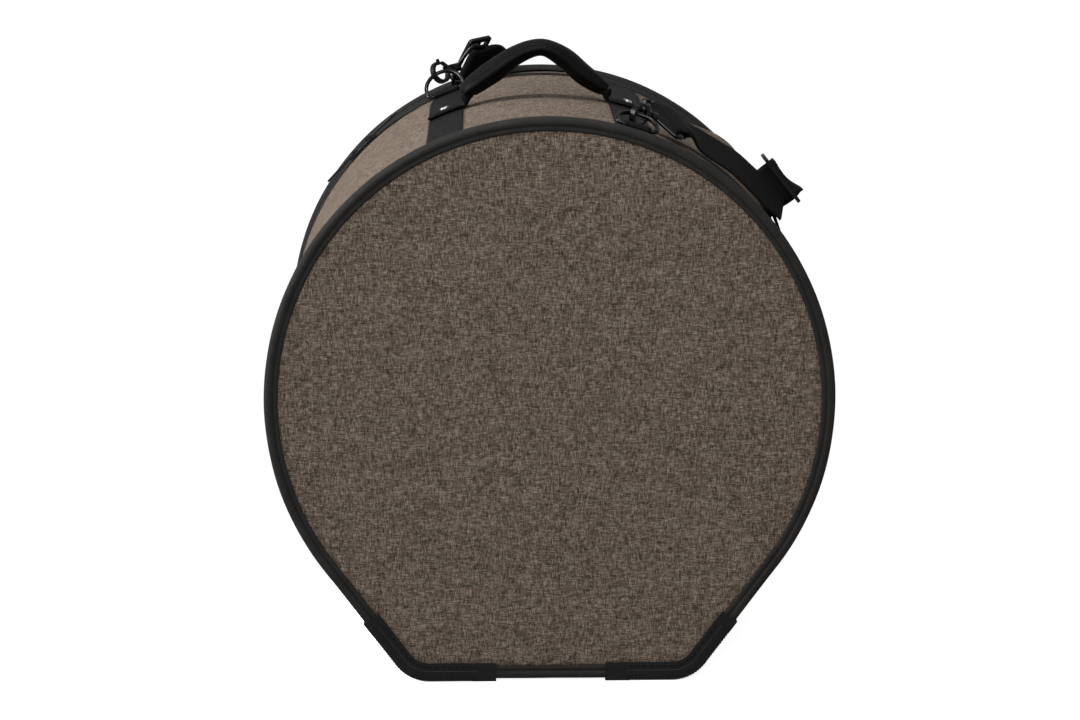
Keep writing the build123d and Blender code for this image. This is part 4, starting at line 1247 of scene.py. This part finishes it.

# %% [markdown]
# Each end of the handle runs into a flat tongue that goes down, bends and disappears under its tab, where the
# rivet holds it. The tongue is the part that flexes when the handle swings; here it is a fixed piece on neither
# the bag nor the handle.

# %% Tongues
tongue_width = 0.022
tongues = {
    "left": (
        [
            (-0.08737, 0.45435, 1.7),
            (-0.07781, 0.45795, 1.7),
            (-0.07141, 0.46010, 2.3),
            (-0.06900, 0.46220, 3.8),
            (-0.06850, 0.46480, 6.2),
            (-0.06840, 0.46750, 8.8),
            (-0.06760, 0.47000, 11.0),
        ],
        (0.4618, 0.4690),
    ),
    "right": (
        [
            (0.07200, 0.45991, 1.7),
            (0.06220, 0.46284, 1.7),
            (0.05568, 0.46454, 2.4),
            (0.05360, 0.46640, 4.2),
            (0.05320, 0.46860, 6.6),
            (0.05320, 0.47090, 9.0),
            (0.05250, 0.47300, 11.0),
        ],
        (0.4658, 0.4715),
    ),
}
for side, (places, (low, high)) in tongues.items():
    rows = smooth_row([(x, handle_y, z) for x, z, _ in places], 8)
    across = np.tile((0.0, 1.0, 0.0), (len(rows), 1))
    thicks = smooth_row(np.array([thick for _, _, thick in places]) / 1000, 8)
    tongue = band("tongue_of_" + side, rows, across, thicks, tongue_width, handle_finish, step=0.0008)
    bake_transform(tongue)
    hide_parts("handle_tongue_" + side)
print("handle made")

# %% [markdown]
# A keeper holds each ring's bar: a leather sleeve bent round the bar, and a tail sewn flat on the patch. It is
# one band that starts on the patch, goes round the bar and comes back on itself.

# %% Ring keepers
keeper_width, keeper_thick = 0.0238, 0.0010
wire_radius, wire_gap = 0.0018, 0.0003
ring_bar_radius = 0.23305 + 0.00015 + wire_radius + wire_gap + 0.0011


def ring_keeper(name, angle, y, tail, node):
    """A keeper with its tail running off from the bar; tail is a signed length in metres."""
    way = 1 if tail > 0 else -1
    reach = wire_radius + wire_gap + 0.00055
    flat = [(tail * k, -reach) for k in np.linspace(1, 0.15, 8)]
    for turn in np.linspace(-math.pi / 2, 1.5 * math.pi - 0.25, 30):
        flat.append((-way * math.cos(turn) * reach, math.sin(turn) * reach))
    flat = np.array(flat)
    points = drum_point(angle, ring_bar_radius + flat[:, 1], y + flat[:, 0])
    across = np.tile((math.cos(angle), 0.0, -math.sin(angle)), (len(points), 1))
    thicks = np.full((len(points), 1), keeper_thick)
    keeper = band(name, points, across, thicks, keeper_width, patch_finish, step=0.0007)
    settle(keeper, "bag", "patch_leather", node)


ring_keeper("front_ring_keeper", patch_angles[1], -0.206, -0.008, "ring_keeper_front")
ring_keeper("rear_ring_keeper", patch_angles[0], 0.132, -0.014, "ring_keeper_rear")

# %% [markdown]
# The shoulder strap is one long piece of webbing with a hook at each end. It folds round each hook's loop and
# is sewn back on itself, runs through a tri-glide, comes round the side of the drum to the back, and crosses
# behind the lid. Webbing keeps its width and bends only along its length, so every run is a band. Each run
# goes through stations: a point, the direction of the width, and the thickness in mm.

# %% Shoulder strap
strap_width = 0.038
strap_thick = 0.002
front_wrap_across = (-0.551024, 0.581146, 0.598868)
rear_wrap_across = (-0.385195, 0.484043, -0.785702)
front_places = [
    ((0.10679, -0.14082, 0.45872), front_wrap_across, 8.2),
    ((0.11421, -0.13070, 0.45573), front_wrap_across, 4.2),
    ((0.12600, -0.1210, 0.44280), (-0.240, 0.770, 0.590), 2.6),
    ((0.13913, -0.1140, 0.43326), (-0.092, 0.838, 0.538), 2),
    ((0.15092, -0.1070, 0.42519), (-0.101, 0.817, 0.567), 2),
    ((0.16409, -0.0980, 0.41465), (-0.016, 0.810, 0.586), 2),
    ((0.17772, -0.0890, 0.40106), (0.045, 0.826, 0.563), 2),
    ((0.18850, -0.0800, 0.39020), (0.120, 0.840, 0.500), 2),
    ((0.19700, -0.0710, 0.38250), (0.200, 0.870, 0.420), 2),
    ((0.20350, -0.0680, 0.37500), (0.240, 0.880, 0.330), 2),
]
side_places = [
    ((0.19018, -0.05121, 0.38828), (0.6225, 0, -0.7826), 2),
    ((0.20191, -0.05121, 0.39761), (0.6225, 0, -0.7826), 2),
    ((0.20600, -0.04700, 0.40020), (0.6200, 0.30, -0.7200), 2),
    ((0.20800, -0.03600, 0.39700), (0.6000, 0.48, -0.6400), 2),
    ((0.20300, -0.01980, 0.38900), (0.6000, 0.25, -0.7600), 2),
    ((0.19600, 0.04005, 0.37300), (0.5500, 0, -0.8350), 2),
    ((0.20300, 0.0999, 0.36000), (0.5000, 0, -0.8660), 2),
    ((0.21180, 0.14985, 0.34250), (0.4367, 0, -0.8996), 2),
    ((0.21620, 0.18225, 0.33550), (0.3987, 0, -0.9171), 2),
    ((0.21830, 0.2115, 0.33200), (0.3987, 0, -0.9171), 2),
    ((0.21830, 0.2277, 0.33200), (0.3987, 0, -0.9171), 2),
]
rear_places = [
    ((-0.05691, 0.18887, 0.47899), rear_wrap_across, 8.2),
    ((-0.05062, 0.19512, 0.47975), rear_wrap_across, 4.2),
    ((-0.04497, 0.20374, 0.47850), (-0.6000, 0.55, -0.5800), 2),
    ((-0.03366, 0.21497, 0.47560), (-0.8000, 0.55, -0.1400), 2),
]
back_places = [
    ((0.22207, 0.2295, 0.3299), (0.53, 0, 0.848), 2),
    ((0.15006, 0.2295, 0.38498), (0.53, 0, 0.848), 2),
    ((0.05400, 0.2295, 0.41950), (0.53, 0, 0.848), 2),
    ((0.00000, 0.2295, 0.44230), (0.53, 0, 0.848), 2),
    ((-0.02600, 0.2295, 0.45300), (0.56, -0.06, 0.82), 2),
    ((-0.03700, 0.2288, 0.46000), (0.62, -0.18, 0.76), 2),
    ((-0.03950, 0.2268, 0.46900), (0.70, -0.38, 0.60), 2),
    ((-0.03750, 0.2215, 0.47420), (0.76, -0.50, 0.36), 2),
    ((-0.03550, 0.2165, 0.47550), (0.79, -0.54, 0.20), 2),
]
strap_runs = {"front": front_places, "side": side_places, "rear": rear_places, "back": back_places}
for seed, (name, stations) in enumerate(strap_runs.items(), 71):
    points, across, thicks = (smooth_row([station[k] for station in stations], 14) for k in range(3))
    run = band("strap_" + name, points, across, thicks / 1000, strap_width, webbing_finish, 0.00012, seed)
    settle(run, "bag", "webbing", f"strap_{name}_run")


def strap_wrap(name, centre, bar, along, node):
    """Webbing folded round the bar of a hook's loop."""
    centre, bar, along = (np.array(v) for v in (centre, bar, along))
    reach = 0.0021 + strap_thick / 2
    legs = np.linspace(0.014, 0.0, 8)
    flat = [(leg, reach) for leg in legs]
    flat += [(-reach * math.sin(a), reach * math.cos(a)) for a in np.linspace(0, math.pi, 24)[1:-1]]
    flat = np.array(flat + [(leg, -reach) for leg in legs[::-1]])
    points = centre + along * flat[:, :1] + np.cross(bar, along) * flat[:, 1:]
    thicks = np.full((len(points), 1), strap_thick)
    across = np.tile(bar, (len(points), 1))
    wrap = band(name, points, across, thicks, strap_width, webbing_finish, step=0.001)
    settle(wrap, "bag", "webbing", node)


front_bar, front_along = (0.0986823, -0.151882, 0.461997), (0.575012, 0.7845, -0.232211)
rear_bar, rear_along = (-0.0668754, 0.17897, 0.477772), (0.706782, 0.702174, 0.086081)
strap_wrap("strap_fold_front", front_bar, front_wrap_across, front_along, "strap_wrap_front")
strap_wrap("strap_fold_rear", rear_bar, rear_wrap_across, rear_along, "strap_wrap_rear")

# %% [markdown]
# The metal parts, the moulded glides and the ribbed guards keep the plain model's own shape. They only need
# their finishes.

# %% Finishes of the hard parts
hard_finishes = (
    (rubber_finish, ("corner_guard",)),
    (bright_metal_finish, ("handle_rivet",)),
    (core_finish, ("handle_core",)),
    (dark_metal_finish, ("zip_slider", "zip_pull", "ring_front", "ring_rear", "hook")),
    (nylon_finish, ("strap_glide",)),
)
for name, node in frame["nodes"].items():
    for finish, starts in hard_finishes:
        if name.startswith(starts):
            node.data.materials.clear()
            node.data.materials.append(finish)
print("hard parts finished")
